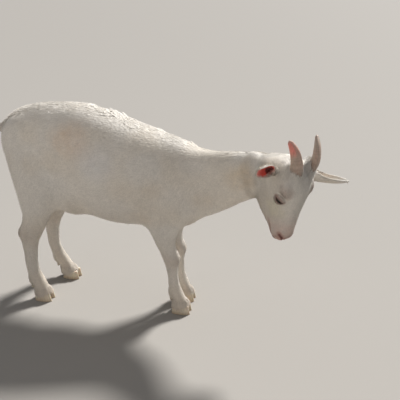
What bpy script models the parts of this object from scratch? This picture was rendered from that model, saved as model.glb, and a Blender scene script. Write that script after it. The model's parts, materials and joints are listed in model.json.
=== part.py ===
"""A young white goat at life size, standing with its head lowered and turned to its right.

Metres, +X towards the goat's front, +Y to its left, +Z up. While it is modelled, the origin lies on the
ground between the forefeet. The last step moves it to the middle of the model's base.
"""

import bmesh
import bpy
import numpy as np
from mathutils import Matrix, Vector

# Fineness
RING_SIDES = 28  # points round a lofted form
RING_STEP = 0.012  # spacing of rings along a lofted form
HORN_RINGS, HORN_SIDES = 9, 10
EAR_RINGS, EAR_SIDES = 10, 7
VOXEL = 0.0045  # grain at which the forms of flesh melt together
BLEND_STEPS, BODY_STEPS = 8, 30  # smoothing passes over all the joined flesh, and over the body alone
FLESH_TRIANGLES = 4500
BODY_FROM, BODY_FADE = 0.22, 0.12  # height at which the softer body starts, and over which it comes in
HEAD_REACH, FOOT_REACH = 0.27, 0.10  # how far the head and the feet, which keep more faces, reach
FINE_WEIGHT, FINE_STRENGTH = 0.5, 0.012  # how many more faces they keep
SHARP_FROM = 50.0  # degrees between faces at which an edge is left sharp
GAP = 0.0004  # clearance between neighbouring pieces
SIDES = {"right": -1, "left": 1}

# Trunk: x, height of back, height of belly, half width
TRUNK = {
    "tail head": (-0.600, 0.618, 0.520, 0.030),
    "pin bones": (-0.570, 0.642, 0.455, 0.060),
    "croup": (-0.500, 0.676, 0.390, 0.080),
    "hips": (-0.410, 0.690, 0.350, 0.092),
    "loin": (-0.320, 0.688, 0.322, 0.108),
    "belly": (-0.220, 0.667, 0.302, 0.120),
    "last ribs": (-0.130, 0.637, 0.303, 0.115),
    "heart": (-0.050, 0.612, 0.305, 0.096),
    "withers": (0.010, 0.594, 0.310, 0.080),
    "breast": (0.065, 0.560, 0.345, 0.060),
    "brisket": (0.092, 0.510, 0.395, 0.030),
}

# Neck: x, y, height of middle, half height, half width
NECK = {
    "root": (-0.040, 0.000, 0.465, 0.130, 0.075),
    "base": (0.050, 0.000, 0.462, 0.118, 0.068),
    "lower": (0.120, -0.008, 0.481, 0.099, 0.056),
    "middle": (0.190, -0.030, 0.509, 0.081, 0.049),
    "upper": (0.245, -0.058, 0.528, 0.071, 0.047),
    "nape": (0.288, -0.083, 0.538, 0.061, 0.048),
}

# Legs: height, back edge x, front edge x, distance from the middle plane, half width
FORELEG = {
    "shoulder": (0.500, -0.085, 0.039, 0.048, 0.030),
    "upper arm": (0.420, -0.110, 0.055, 0.054, 0.036),
    "elbow": (0.345, -0.120, 0.020, 0.054, 0.033),
    "forearm": (0.290, -0.094, -0.004, 0.050, 0.028),
    "above knee": (0.242, -0.077, -0.014, 0.041, 0.0235),
    "knee": (0.207, -0.062, 0.002, 0.039, 0.0245),
    "below knee": (0.168, -0.051, -0.006, 0.039, 0.0185),
    "cannon": (0.125, -0.044, -0.006, 0.039, 0.0165),
    "above fetlock": (0.095, -0.043, 0.000, 0.039, 0.0185),
    "fetlock": (0.070, -0.041, 0.010, 0.039, 0.0220),
    "pastern": (0.045, -0.029, 0.022, 0.039, 0.0205),
    "coronet": (0.025, -0.030, 0.029, 0.039, 0.0235),
    "sole": (0.000, -0.030, 0.034, 0.039, 0.0240),
}
HINDLEG = {
    "hip": (0.570, -0.575, -0.430, 0.050, 0.036),
    "thigh": (0.500, -0.570, -0.390, 0.060, 0.044),
    "stifle": (0.430, -0.548, -0.372, 0.072, 0.042),
    "gaskin": (0.372, -0.536, -0.388, 0.080, 0.035),
    "shank": (0.322, -0.531, -0.424, 0.080, 0.028),
    "above hock": (0.287, -0.541, -0.446, 0.079, 0.0250),
    "hock": (0.258, -0.557, -0.464, 0.079, 0.0245),
    "below hock": (0.222, -0.546, -0.484, 0.079, 0.0225),
    "cannon": (0.180, -0.543, -0.492, 0.079, 0.0190),
    "lower cannon": (0.140, -0.544, -0.496, 0.079, 0.0178),
    "above fetlock": (0.100, -0.539, -0.487, 0.079, 0.0195),
    "fetlock": (0.075, -0.536, -0.477, 0.079, 0.0225),
    "pastern": (0.048, -0.519, -0.465, 0.079, 0.0210),
    "coronet": (0.028, -0.518, -0.459, 0.079, 0.0240),
    "sole": (0.000, -0.517, -0.454, 0.079, 0.0245),
}
LEGS = {  # stations, how far the foot is set forward, and height below which the leg leans that way
    ("fore", "right"): (FORELEG, 0.000, 0.200),
    ("fore", "left"): (FORELEG, -0.005, 0.200),
    ("hind", "right"): (HINDLEG, 0.000, 0.220),
    ("hind", "left"): (HINDLEG, 0.030, 0.220),
}
SPLIT_HEIGHT = {"fore": 0.185, "hind": 0.232}  # just below the knee and below the hock

# Muscles: centre x, y off the middle plane, z, radii x, y, z, and lean forward in degrees
MUSCLES = {
    "shoulder blade": (-0.025, 0.050, 0.485, 0.062, 0.034, 0.105, -22),
    "point of shoulder": (0.034, 0.048, 0.425, 0.048, 0.030, 0.062, 15),
    "triceps": (-0.060, 0.056, 0.415, 0.064, 0.032, 0.068, 30),
    "hip bone": (-0.415, 0.052, 0.630, 0.045, 0.026, 0.034, 0),
    "rump": (-0.500, 0.050, 0.560, 0.090, 0.034, 0.095, 10),
    "thigh": (-0.468, 0.062, 0.465, 0.092, 0.042, 0.115, 0),
    "flank": (-0.345, 0.058, 0.430, 0.090, 0.046, 0.100, 0),
}

# Head: its own frame has x along the nose, y to the left and z towards the brow, from the joint with the neck
HEAD_AT = Vector((0.328, -0.110, 0.606))
HEAD_HEADING, HEAD_LEAN, HEAD_PITCH = -37.0, -3.0, 84.0  # degrees: brow's bearing, sideways lean, nose down
HEAD_SIZE = 1.08
# x, brow side, jaw side, half width, share by which the jaw side narrows
HEAD = {
    "nape": (-0.004, 0.012, -0.060, 0.036, 0.10),
    "poll": (0.012, 0.038, -0.080, 0.050, 0.15),
    "ears": (0.030, 0.055, -0.094, 0.056, 0.20),
    "horns": (0.055, 0.064, -0.099, 0.058, 0.26),
    "brow": (0.085, 0.060, -0.099, 0.057, 0.24),
    "below eyes": (0.118, 0.047, -0.096, 0.048, 0.15),
    "nose": (0.150, 0.035, -0.082, 0.037, 0.09),
    "lips": (0.185, 0.024, -0.059, 0.0280, 0.06),
    "nostrils": (0.212, 0.012, -0.044, 0.0250, 0.05),
    "muzzle": (0.225, -0.002, -0.034, 0.0180, 0.00),
}
# Forms on the head: x, y, z, radii; those off the middle plane are mirrored
HEAD_FORMS = {
    "brow ridge": (0.070, 0.043, 0.038, 0.030, 0.0120, 0.015),
    "cheek": (0.062, 0.034, -0.040, 0.042, 0.019, 0.038),
    "jaw angle": (0.045, 0.022, -0.072, 0.030, 0.014, 0.022),
    "nostril wing": (0.209, 0.0140, -0.001, 0.0155, 0.0110, 0.0120),
    "upper lip": (0.205, 0.012, -0.024, 0.020, 0.0140, 0.0130),
    "chin": (0.196, 0.000, -0.041, 0.018, 0.0150, 0.0125),
    "horn root": (0.034, 0.027, 0.048, 0.022, 0.0180, 0.0140),
    "ear root": (0.034, 0.049, -0.012, 0.022, 0.0130, 0.0160),
}
EYE_AT, EYE_RADIUS = (0.0960, 0.0430, 0.0190), 0.0135

# Horns in the head's frame, y away from its middle: each middle line from root to tip, and radii at the root
HORN_LINES = {
    "right": ((0.036, 0.0250, 0.0485), (0.004, 0.0385, 0.065), (-0.030, 0.0470, 0.0655), (-0.058, 0.054, 0.054)),
    "left": ((0.036, 0.0275, 0.0480), (0.004, 0.0315, 0.065), (-0.030, 0.0375, 0.0645), (-0.058, 0.046, 0.054)),
}
HORN_RADII = (0.0168, 0.0120)
HORN_TWIST = 40.0  # degrees from the middle plane to the broad way of its section
HORN_TAPER = ((0.0, 0.25, 0.5, 0.75, 0.92, 1.0), (1.0, 0.96, 0.87, 0.68, 0.42, 0.12))

# Ears in the head's frame: root, where each points, where its hollow faces and how much its tip curls that way
EAR_LENGTH, EAR_HALF_WIDTH, EAR_WALL = 0.122, 0.0190, 0.0036
EARS = {
    "right": ((0.021, -0.049, -0.010), (-0.15, -0.89, 0.36), (0.10, 0.20, 0.97), 0.10),
    "left": ((0.054, 0.047, -0.006), (0.50, 0.62, 0.62), (-1.00, 0.00, 0.05), 0.37),
}
EAR_WIDTHS = ((0.0, 0.15, 0.4, 0.62, 0.82, 0.94, 1.0), (0.62, 0.80, 1.0, 1.0, 0.84, 0.55, 0.10))
EAR_HALF_WRAP = ((0.0, 0.3, 1.0), (150.0, 105.0, 60.0))  # degrees round the hollow to each side of the back

# Tail: root, tip, half width and half thickness at the root
TAIL_ROOT, TAIL_TIP = Vector((-0.590, 0.0, 0.606)), Vector((-0.688, 0.0, 0.545))
TAIL_RADII = (0.020, 0.014)

# Feet
CLAW_SIDES = 14
CORONET_FRONT, CORONET_BACK = 0.036, 0.021  # heights of the line where coat meets horn
CLAW_HALF_WIDTH, CLAW_GAP = 0.0112, 0.0030
DEWCLAW_RADII = (0.0075, 0.0060, 0.0110)
DEWCLAW_AT, DEWCLAW_LEAN = (0.001, 0.0105, 0.055), 20.0  # behind, apart, height

# Cuts. Neck and head: a point and the way to the piece cut off. Tail: a ball round it, centre and radii
NECK_CUT = ((0.055, 0.0, 0.480), (0.95, 0.0, 0.30))
HEAD_CUT = ((0.300, -0.080, 0.520), (0.90, -0.42, -0.10))
TAIL_BALL = ((-0.655, 0.0, 0.568), (0.054, 0.030, 0.045))
LEG_OUTLINES = {  # from the side, x and z
    "fore": (
        (-0.160, -0.050), (0.120, -0.050), (0.110, 0.260), (0.100, 0.400),
        (0.045, 0.530), (-0.025, 0.575), (-0.085, 0.500), (-0.130, 0.400), (-0.150, 0.260),
    ),
    "hind": (
        (-0.640, -0.050), (-0.360, -0.050), (-0.345, 0.220), (-0.335, 0.380),
        (-0.370, 0.500), (-0.440, 0.600), (-0.520, 0.620), (-0.640, 0.560), (-0.660, 0.260),
    ),
}
# The form that holds a leg: distance of its inner face from the middle plane, slant above a height, outer face
WEDGE_NEAR, WEDGE_SLANT, WEDGE_SLANTS_FROM, WEDGE_FAR = 0.006, 0.16, 0.300, 0.250

WHITE_COAT = (0.86, 0.83, 0.78)
PINK_SKIN = (0.80, 0.55, 0.48)
HORN_COLOUR = (0.52, 0.42, 0.35)
CLAW_COLOUR = (0.72, 0.56, 0.40)
EYE_COLOUR = (0.10, 0.06, 0.03)


def material(name, colour, roughness):
    made = bpy.data.materials.new(name)
    made.use_nodes = True
    shader = made.node_tree.nodes["Principled BSDF"]
    shader.inputs["Base Color"].default_value = (*colour, 1)
    shader.inputs["Roughness"].default_value = roughness
    shader.inputs["Metallic"].default_value = 0
    return made


def spline(keys, values, at):
    """Values at the places at, on a smooth curve through the given values at rising keys."""
    keys, values = np.asarray(keys, float), np.asarray(values, float)
    slopes = np.gradient(values, keys, axis=0)
    i = np.clip(np.searchsorted(keys, at, side="right") - 1, 0, len(keys) - 2)
    span = (keys[i + 1] - keys[i])[:, None]
    t = (at - keys[i])[:, None] / span
    return (
        (2 * t**3 - 3 * t**2 + 1) * values[i]
        + (t**3 - 2 * t**2 + t) * span * slopes[i]
        + (3 * t**2 - 2 * t**3) * values[i + 1]
        + (t**3 - t**2) * span * slopes[i + 1]
    )


def rounded(angle, power):
    """Point at this angle on a unit outline that is a circle at power 2 and squarer above it."""
    c, s = np.cos(angle), np.sin(angle)
    return np.sign(c) * abs(c) ** (2 / power), np.sign(s) * abs(s) ** (2 / power)


def closed_tube(rings):
    """Points and faces of a tube through rings of equal length, closed at both ends by fans."""
    count, sides = len(rings), len(rings[0])
    points = [tuple(p) for ring in rings for p in ring]
    faces = []
    for r in range(count - 1):
        for i in range(sides):
            j = (i + 1) % sides
            a, b = r * sides, (r + 1) * sides
            faces.append((a + i, a + j, b + j, b + i))
    for ring, first, turned in ((rings[0], 0, True), (rings[-1], (count - 1) * sides, False)):
        middle = len(points)
        points.append(tuple(np.mean(ring, axis=0)))
        for i in range(sides):
            pair = (first + i, first + (i + 1) % sides)
            faces.append((middle, *(reversed(pair) if turned else pair)))
    return points, faces


def loft(centres, across, up, half_width, above, below, power=2.2, narrowing=None):
    """A tube through oval sections. Above and below are its half heights along up; narrowing pinches below."""
    centres = np.asarray(centres, float)
    steps = np.linalg.norm(np.diff(centres, axis=0), axis=1)
    keys = np.concatenate([[0], np.cumsum(steps)])
    columns = [centres, across, up]
    columns += [np.reshape(c, (-1, 1)) for c in (half_width, above, below)]
    columns.append(np.reshape(np.zeros(len(keys)) if narrowing is None else narrowing, (-1, 1)))
    at = np.linspace(0, keys[-1], max(4, round(keys[-1] / RING_STEP)))
    table = spline(keys, np.hstack(columns), at)
    rings = []
    for row in table:
        side, top = (row[a:b] / np.linalg.norm(row[a:b]) for a, b in ((3, 6), (6, 9)))
        ring = []
        for k in range(RING_SIDES):
            u, v = rounded(2 * np.pi * k / RING_SIDES, power)
            reach = row[10] if v > 0 else row[11]
            pinch = 1 - row[12] * max(0.0, -v)
            ring.append(row[:3] + side * u * row[9] * pinch + top * v * reach)
        rings.append(ring)
    return closed_tube(rings)


def moved(shape, matrix):
    points, faces = shape
    return [tuple(matrix @ Vector(p)) for p in points], faces


def ball(centre, radii, turn=None, fineness=3):
    """An ellipsoid from a subdivided icosahedron."""
    bm = bmesh.new()
    bmesh.ops.create_icosphere(bm, subdivisions=fineness, radius=1)
    placed = Matrix.Translation(centre) @ (turn or Matrix()) @ Matrix.Diagonal((*radii, 1))
    points = [tuple(placed @ v.co) for v in bm.verts]
    faces = [tuple(v.index for v in f.verts) for f in bm.faces]
    bm.free()
    return points, faces


def mesh_of(shapes):
    """One mesh holding these shapes, with faces pointing out of each."""
    bm = bmesh.new()
    for points, faces in shapes:
        verts = [bm.verts.new(p) for p in points]
        for face in faces:
            bm.faces.new([verts[i] for i in face])
    bmesh.ops.recalc_face_normals(bm, faces=bm.faces)
    bmesh.ops.triangulate(bm, faces=bm.faces)
    mesh = bpy.data.meshes.new("shape")
    bm.to_mesh(mesh)
    bm.free()
    return mesh


def thing(name, mesh):
    made = bpy.data.objects.new(name, mesh)
    bpy.context.scene.collection.objects.link(made)
    return made


def settle(obj):
    """Applies the object's modifiers."""
    bpy.context.view_layer.update()
    graph = bpy.context.evaluated_depsgraph_get()
    mesh = bpy.data.meshes.new_from_object(obj.evaluated_get(graph))
    obj.modifiers.clear()
    obj.data = mesh


def combine(obj, tool_mesh, operation):
    """Cuts, joins or limits the object by a mesh."""
    tool = thing("tool", tool_mesh)
    tool.hide_render, tool.display_type = True, "WIRE"
    step = obj.modifiers.new("step", "BOOLEAN")
    step.operation, step.object, step.use_self = operation, tool, True
    settle(obj)
    bpy.data.objects.remove(tool)


def copy_of(obj, name):
    return thing(name, obj.data.copy())


def grown(mesh, distance):
    """The mesh with each point moved out by this distance."""
    bm = bmesh.new()
    bm.from_mesh(mesh)
    bm.normal_update()
    for v in bm.verts:
        v.co += v.normal * distance
    made = bpy.data.meshes.new("grown")
    bm.to_mesh(made)
    bm.free()
    return made


def halve(obj, point, normal):
    """Keeps what lies on the side of the plane that normal points to, and closes the cut."""
    bm = bmesh.new()
    bm.from_mesh(obj.data)
    everything = bm.verts[:] + bm.edges[:] + bm.faces[:]
    bmesh.ops.bisect_plane(bm, geom=everything, plane_co=point, plane_no=normal, clear_inner=True)
    rim = [e for e in bm.edges if e.is_boundary]
    filled = bmesh.ops.holes_fill(bm, edges=rim, sides=0)
    bmesh.ops.triangulate(bm, faces=filled["faces"])
    bm.to_mesh(obj.data)
    bm.free()


def part_by_plane(obj, name, point, normal):
    """Splits the object with a thin plane cut. The side that normal points to becomes the new object."""
    point, normal = Vector(point), Vector(normal).normalized()
    taken = copy_of(obj, name)
    halve(taken, point + normal * GAP / 2, normal)
    halve(obj, point - normal * GAP / 2, -normal)
    return taken


def part_by_form(obj, name, shape):
    """Splits the object with a thin curved cut along the surface of a closed form."""
    mesh = mesh_of([shape])
    taken = copy_of(obj, name)
    combine(taken, mesh, "INTERSECT")
    combine(obj, grown(mesh, GAP), "DIFFERENCE")
    return taken


# Forms of flesh ---------------------------------------------------------


def trunk_form():
    rows = np.array(list(TRUNK.values()))
    x, top, bottom, width = rows.T
    middle = bottom + 0.52 * (top - bottom)
    centres = np.stack([x, 0 * x, middle], 1)
    across, up = np.tile((0, 1, 0), (len(x), 1)), np.tile((0, 0, 1), (len(x), 1))
    return loft(centres, across, up, width, top - middle, middle - bottom, power=2.15)


def neck_form():
    x, y, z, height, width = np.array(list(NECK.values())).T
    centres = np.stack([x, y, z], 1)
    along = np.gradient(centres, axis=0)
    up = np.stack([-along[:, 2], 0 * x, along[:, 0]], 1)
    up /= np.linalg.norm(up, axis=1)[:, None]
    across = np.cross(up, along)
    across /= np.linalg.norm(across, axis=1)[:, None]
    return loft(centres, across, up, width, height, height, power=2.1)


def forward_shift(end, side, z):
    """How far forward the leg is set at this height."""
    _, set_forward, from_height = LEGS[end, side]
    return set_forward * np.clip(1 - z / from_height, 0, 1) ** 2


def leg_form(end, side):
    z, back, front, off, width = np.array(list(LEGS[end, side][0].values())).T
    middle = (back + front) / 2 + forward_shift(end, side, z)
    centres = np.stack([middle, SIDES[side] * off, z], 1)
    depth = (front - back) / 2
    across, up = np.tile((0, 1, 0), (len(z), 1)), np.tile((1, 0, 0), (len(z), 1))
    return loft(centres, across, up, width, depth, depth, power=2.1)


def muscle_forms():
    for x, off, z, rx, ry, rz, lean in MUSCLES.values():
        turn = Matrix.Rotation(np.radians(lean), 4, "Y")
        for side in SIDES.values():
            yield ball((x, side * off, z), (rx, ry, rz), turn)


def head_matrix():
    """From the head's own frame to the model's."""
    heading = Matrix.Rotation(np.radians(HEAD_HEADING), 4, "Z")
    lean = Matrix.Rotation(np.radians(HEAD_LEAN), 4, "X")
    pitch = Matrix.Rotation(np.radians(HEAD_PITCH), 4, "Y")
    return Matrix.Translation(HEAD_AT) @ heading @ lean @ pitch @ Matrix.Scale(HEAD_SIZE, 4)


def head_forms():
    x, brow, jaw, width, narrowing = np.array(list(HEAD.values())).T
    middle = 0.45 * brow + 0.55 * jaw + 0.012
    centres = np.stack([x, 0 * x, middle], 1)
    across, up = np.tile((0, 1, 0), (len(x), 1)), np.tile((0, 0, 1), (len(x), 1))
    place = head_matrix()
    skull = loft(centres, across, up, width, brow - middle, middle - jaw, 2.3, narrowing)
    yield moved(skull, place)
    for fx, off, fz, rx, ry, rz in HEAD_FORMS.values():
        for side in SIDES.values() if off else (1,):
            yield moved(ball((fx, side * off, fz), (rx, ry, rz)), place)


def tail_form():
    along = TAIL_TIP - TAIL_ROOT
    up = along.cross(Vector((0, 1, 0))).normalized()
    share = np.array([-0.35, 0.0, 0.35, 0.7, 0.93, 1.0])
    size = np.array([0.9, 1.0, 0.95, 0.72, 0.42, 0.12])
    centres = np.array([TAIL_ROOT + along * s + Vector((0, 0, 0.010)) * s * (1 - s) * 4 for s in share])
    across, ups = np.tile((0, 1, 0), (len(share), 1)), np.tile(up, (len(share), 1))
    return loft(centres, across, ups, size * TAIL_RADII[0], size * TAIL_RADII[1], size * TAIL_RADII[1])


def weights(obj, name, share):
    """A vertex group filled by a function of place."""
    group = obj.vertex_groups.new(name=name)
    for v in obj.data.vertices:
        group.add([v.index], share(v.co), "REPLACE")
    return name


def in_head(place):
    local = head_matrix().inverted() @ place
    return local.x > -0.02 and local.z > -0.09 and local.length < HEAD_REACH


def body_share(place):
    """One over the trunk and neck, nothing on the head and lower legs."""
    above_legs = (place.z - BODY_FROM) / BODY_FADE
    return 0.0 if in_head(place) else min(1.0, max(0.0, above_legs))


def plain_share(place):
    """One where few faces do, less on the head and feet, which keep more."""
    return FINE_WEIGHT if in_head(place) or place.z < FOOT_REACH else 1.0


def whole_flesh():
    forms = [trunk_form(), neck_form(), tail_form(), *muscle_forms(), *head_forms()]
    forms += [leg_form(end, side) for end, side in LEGS]
    flesh = thing("trunk", mesh_of(forms))
    melt = flesh.modifiers.new("melt", "REMESH")
    melt.mode, melt.voxel_size, melt.adaptivity = "VOXEL", VOXEL, 0
    blend = flesh.modifiers.new("blend", "SMOOTH")
    blend.factor, blend.iterations = 0.5, BLEND_STEPS
    settle(flesh)
    soften = flesh.modifiers.new("soften", "SMOOTH")
    soften.factor, soften.iterations = 0.5, BODY_STEPS
    soften.vertex_group = weights(flesh, "body", body_share)
    settle(flesh)
    plain = weights(flesh, "plain", plain_share)
    fewer = flesh.modifiers.new("fewer", "DECIMATE")
    fewer.vertex_group = plain
    fewer.vertex_group_factor = FINE_STRENGTH
    fewer.ratio = FLESH_TRIANGLES / (2 * len(flesh.data.polygons))
    settle(flesh)
    flesh.vertex_groups.clear()
    return flesh


# Pieces with their own surface ------------------------------------------


def along_line(points, at):
    """Points at these shares of the length of a smooth line."""
    points = np.asarray(points, float)
    steps = np.linalg.norm(np.diff(points, axis=0), axis=1)
    keys = np.concatenate([[0], np.cumsum(steps)])
    return spline(keys / keys[-1], points, np.asarray(at, float))


def mirrored(point, side):
    return (point[0], SIDES[side] * point[1], point[2])


def horn(side):
    at = np.linspace(0, 1, HORN_RINGS)
    centres = along_line([mirrored(p, side) for p in HORN_LINES[side]], at)
    twist = np.radians(HORN_TWIST)
    broad = Vector(mirrored((0, -np.sin(twist), np.cos(twist)), side))
    share = np.interp(at, *HORN_TAPER)
    rings = []
    for centre, along, s in zip(centres, np.gradient(centres, axis=0), share):
        along = Vector(along).normalized()
        wide = (broad - along * broad.dot(along)).normalized()
        thin = along.cross(wide)
        ring = []
        for k in range(HORN_SIDES):
            angle = 2 * np.pi * k / HORN_SIDES
            reach = wide * np.cos(angle) * HORN_RADII[0] + thin * np.sin(angle) * HORN_RADII[1]
            ring.append(Vector(centre) + reach * s)
        rings.append(ring)
    return moved(closed_tube(rings), head_matrix())


def ear(side):
    """A leaf rolled round its hollow, with a wall that thins at the rims."""
    root, points_to, faces_to, curl = EARS[side]
    along = Vector(points_to).normalized()
    hollow = Vector(faces_to)
    hollow = (hollow - along * hollow.dot(along)).normalized()
    across = along.cross(hollow)
    rings = []
    for s in np.linspace(0, 1, EAR_RINGS):
        wrap = np.radians(np.interp(s, *EAR_HALF_WRAP))
        radius = EAR_HALF_WIDTH * np.interp(s, *EAR_WIDTHS) / np.sin(min(wrap, np.pi / 2))
        back = Vector(root) + along * EAR_LENGTH * s + hollow * EAR_LENGTH * curl * s * s
        centre = back + hollow * radius
        outer, inner = [], []
        for a in np.linspace(-wrap, wrap, EAR_SIDES):
            way = across * np.sin(a) - hollow * np.cos(a)
            wall = min(EAR_WALL * (1 - 0.55 * (a / wrap) ** 2), 0.6 * radius)
            outer.append(centre + way * radius)
            inner.append(centre + way * (radius - wall))
        rings.append(outer + inner[::-1])
    return moved(closed_tube(rings), head_matrix())


def foot_frame(end, side):
    """Middle of the sole, half length and slope of the line where coat meets horn."""
    _, back, front, off, _ = LEGS[end, side][0]["sole"]
    middle = Vector(((back + front) / 2 + forward_shift(end, side, 0), SIDES[side] * off, 0))
    half = (front - back) / 2
    slope = (CORONET_FRONT - CORONET_BACK) / (2 * half)
    return middle, half, slope


def claw(end, side, inner):
    """One half of a cloven hoof: upright at the cleft, rounded outside, with a flat sole."""
    middle, half, slope = foot_frame(end, side)
    away = -SIDES[side] if inner else SIDES[side]
    outline = []
    for k in range(CLAW_SIDES):
        angle = 2 * np.pi * k / CLAW_SIDES
        u, v = rounded(angle, 2.6)
        pointed = 1 - 0.32 * max(0.0, u) ** 2
        outline.append((u, v * pointed))
    rings = []
    for level, spread, setback in ((0.0, 1.0, 0.0), (0.5, 0.975, 0.03), (1.0, 0.90, 0.09)):
        ring = []
        for u, v in outline:
            x = half * (u * spread - setback * max(0.0, u))
            y = away * (CLAW_GAP / 2 + CLAW_HALF_WIDTH * (1 + v * spread))
            top = (CORONET_FRONT + CORONET_BACK) / 2 + slope * x
            ring.append(middle + Vector((x, y, level * top)))
        rings.append(ring)
    return closed_tube(rings)


def dewclaw(end, side, inner):
    _, back, _, off, _ = LEGS[end, side][0]["pastern"]
    away = -SIDES[side] if inner else SIDES[side]
    behind, apart, height = DEWCLAW_AT
    place = (back + forward_shift(end, side, height) - behind, SIDES[side] * off + away * apart, height)
    return ball(place, DEWCLAW_RADII, Matrix.Rotation(np.radians(DEWCLAW_LEAN), 4, "Y"), 1)


# Cuts -------------------------------------------------------------------


def leg_wedge(end, side):
    """A closed form that holds one leg, with its inner face slanting outwards above a level crease."""
    outline = np.array(LEG_OUTLINES[end])
    count = len(outline)
    smooth = []
    for i in range(count):
        a, b, c, d = (outline[(i + k) % count] for k in (-1, 0, 1, 2))
        middle = (9 * (b + c) - a - d) / 16
        smooth += [b, middle]
    ring = []
    for here, after in zip(smooth, smooth[1:] + smooth[:1]):
        ring.append(here)
        share = (WEDGE_SLANTS_FROM - here[1]) / (after[1] - here[1]) if after[1] != here[1] else 0
        if 0 < share < 1:
            ring.append(here + (after - here) * share)
    inner, outer = [], []
    for x, z in ring:
        depth = WEDGE_NEAR + WEDGE_SLANT * max(0.0, z - WEDGE_SLANTS_FROM)
        inner.append((x, SIDES[side] * depth, z))
        outer.append((x, SIDES[side] * WEDGE_FAR, z))
    count = len(ring)
    tiny = 1e-9
    low = [i for i in range(count) if ring[i][1] < WEDGE_SLANTS_FROM + tiny]
    high = [i for i in range(count) if ring[i][1] > WEDGE_SLANTS_FROM - tiny]
    walls = [(i, (i + 1) % count, count + (i + 1) % count, count + i) for i in range(count)]
    return inner + outer, [low, high, list(range(count, 2 * count)), *walls]


def main():
    for old in list(bpy.data.objects):
        bpy.data.objects.remove(old)
    coat = material("white_coat", WHITE_COAT, 0.85)
    pink = material("ear_skin", PINK_SKIN, 0.7)
    horn_stuff = material("horn", HORN_COLOUR, 0.45)
    claw_stuff = material("claw", CLAW_COLOUR, 0.5)
    eye_stuff = material("eye", EYE_COLOUR, 0.1)

    trunk = whole_flesh()
    flesh = [trunk]
    shell = grown(trunk.data, GAP)
    place = head_matrix()
    for side in SIDES:
        ball_at = place @ Vector(mirrored(EYE_AT, side))
        eye = thing(f"eye_{side}", mesh_of([ball(ball_at, (EYE_RADIUS * HEAD_SIZE,) * 3, fineness=2)]))
        combine(trunk, grown(eye.data, GAP), "DIFFERENCE")
        eye.data.materials.append(eye_stuff)
        for name, shape, stuff in (("horn", horn(side), horn_stuff), ("ear", ear(side), pink)):
            piece = thing(f"{name}_{side}", mesh_of([shape]))
            combine(piece, shell.copy(), "DIFFERENCE")
            piece.data.materials.append(stuff)
    for end, side in LEGS:
        for inner in (False, True):
            where = "inner" if inner else "outer"
            hoof = thing(f"claw_{end}_{side}_{where}", mesh_of([claw(end, side, inner)]))
            hoof.data.materials.append(claw_stuff)
            spur = thing(f"dewclaw_{end}_{side}_{where}", mesh_of([dewclaw(end, side, inner)]))
            combine(spur, shell.copy(), "DIFFERENCE")
            spur.data.materials.append(claw_stuff)
    for end, side in LEGS:
        leg = part_by_form(trunk, f"{end}leg_upper_{side}", leg_wedge(end, side))
        lower = part_by_plane(leg, f"{end}leg_lower_{side}", (0, 0, SPLIT_HEIGHT[end]), (0, 0, -1))
        middle, half, slope = foot_frame(end, side)
        coronet = middle + Vector((0, 0, (CORONET_FRONT + CORONET_BACK) / 2 + GAP))
        halve(lower, coronet, Vector((-slope, 0, 1)))
        flesh += [leg, lower]
    flesh.append(part_by_plane(trunk, "neck", *NECK_CUT))
    flesh.append(part_by_plane(flesh[-1], "head", *HEAD_CUT))
    flesh.append(part_by_form(trunk, "tail", ball(*TAIL_BALL)))
    for piece in flesh:
        piece.data.materials.clear()
        piece.data.materials.append(coat)
    rest_on_base()


def rest_on_base():
    """Moves the origin to the middle of the model's base."""
    corners = [Vector(v.co) for o in bpy.data.objects for v in o.data.vertices]
    low = [min(c[i] for c in corners) for i in range(3)]
    high = [max(c[i] for c in corners) for i in range(3)]
    shift = Matrix.Translation((-(low[0] + high[0]) / 2, -(low[1] + high[1]) / 2, -low[2]))
    for obj in bpy.data.objects:
        obj.data.transform(shift)
        obj.data.shade_smooth()
        obj.data.set_sharp_from_angle(angle=np.radians(SHARP_FROM))


main()
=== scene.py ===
"""Looks of a young white goat: one skin with its short coat, and its eyes, horns and hooves.

Metres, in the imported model's frame: +X towards the goat's front, +Y to its left, +Z up. Places on the body
are counted from the point on the floor between the forefeet, as x, y and z. Places on the head are in its own
frame, as u down the nose, v to the goat's left and w out of the brow.
"""

import json

import bmesh
import bpy
import numpy as np
from mathutils import Matrix, Vector

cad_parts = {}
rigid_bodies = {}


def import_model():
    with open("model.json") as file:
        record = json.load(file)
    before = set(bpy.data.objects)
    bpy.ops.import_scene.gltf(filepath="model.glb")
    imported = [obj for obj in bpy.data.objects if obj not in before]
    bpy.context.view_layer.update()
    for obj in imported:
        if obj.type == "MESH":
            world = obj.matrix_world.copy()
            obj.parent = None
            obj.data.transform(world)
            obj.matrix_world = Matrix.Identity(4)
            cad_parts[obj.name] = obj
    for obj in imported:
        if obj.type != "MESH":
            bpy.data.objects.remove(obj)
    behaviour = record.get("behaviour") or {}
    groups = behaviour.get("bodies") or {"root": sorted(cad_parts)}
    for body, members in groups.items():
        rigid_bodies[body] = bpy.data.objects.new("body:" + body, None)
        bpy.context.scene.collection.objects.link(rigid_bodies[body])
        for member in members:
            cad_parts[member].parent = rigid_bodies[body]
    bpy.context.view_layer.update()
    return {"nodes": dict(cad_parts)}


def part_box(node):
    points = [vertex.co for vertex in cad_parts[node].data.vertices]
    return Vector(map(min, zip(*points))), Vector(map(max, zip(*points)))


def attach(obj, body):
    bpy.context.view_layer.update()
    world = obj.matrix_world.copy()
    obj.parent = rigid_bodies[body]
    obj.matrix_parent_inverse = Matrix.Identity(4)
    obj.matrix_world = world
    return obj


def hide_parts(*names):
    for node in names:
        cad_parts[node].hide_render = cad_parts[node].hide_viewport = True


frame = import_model()
SIDES = {"right": -1, "left": 1}
ENDS = ("fore", "hind")
LEG_NODES = [f"{end}leg_{half}_{side}" for end in ENDS for half in ("upper", "lower") for side in SIDES]
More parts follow.
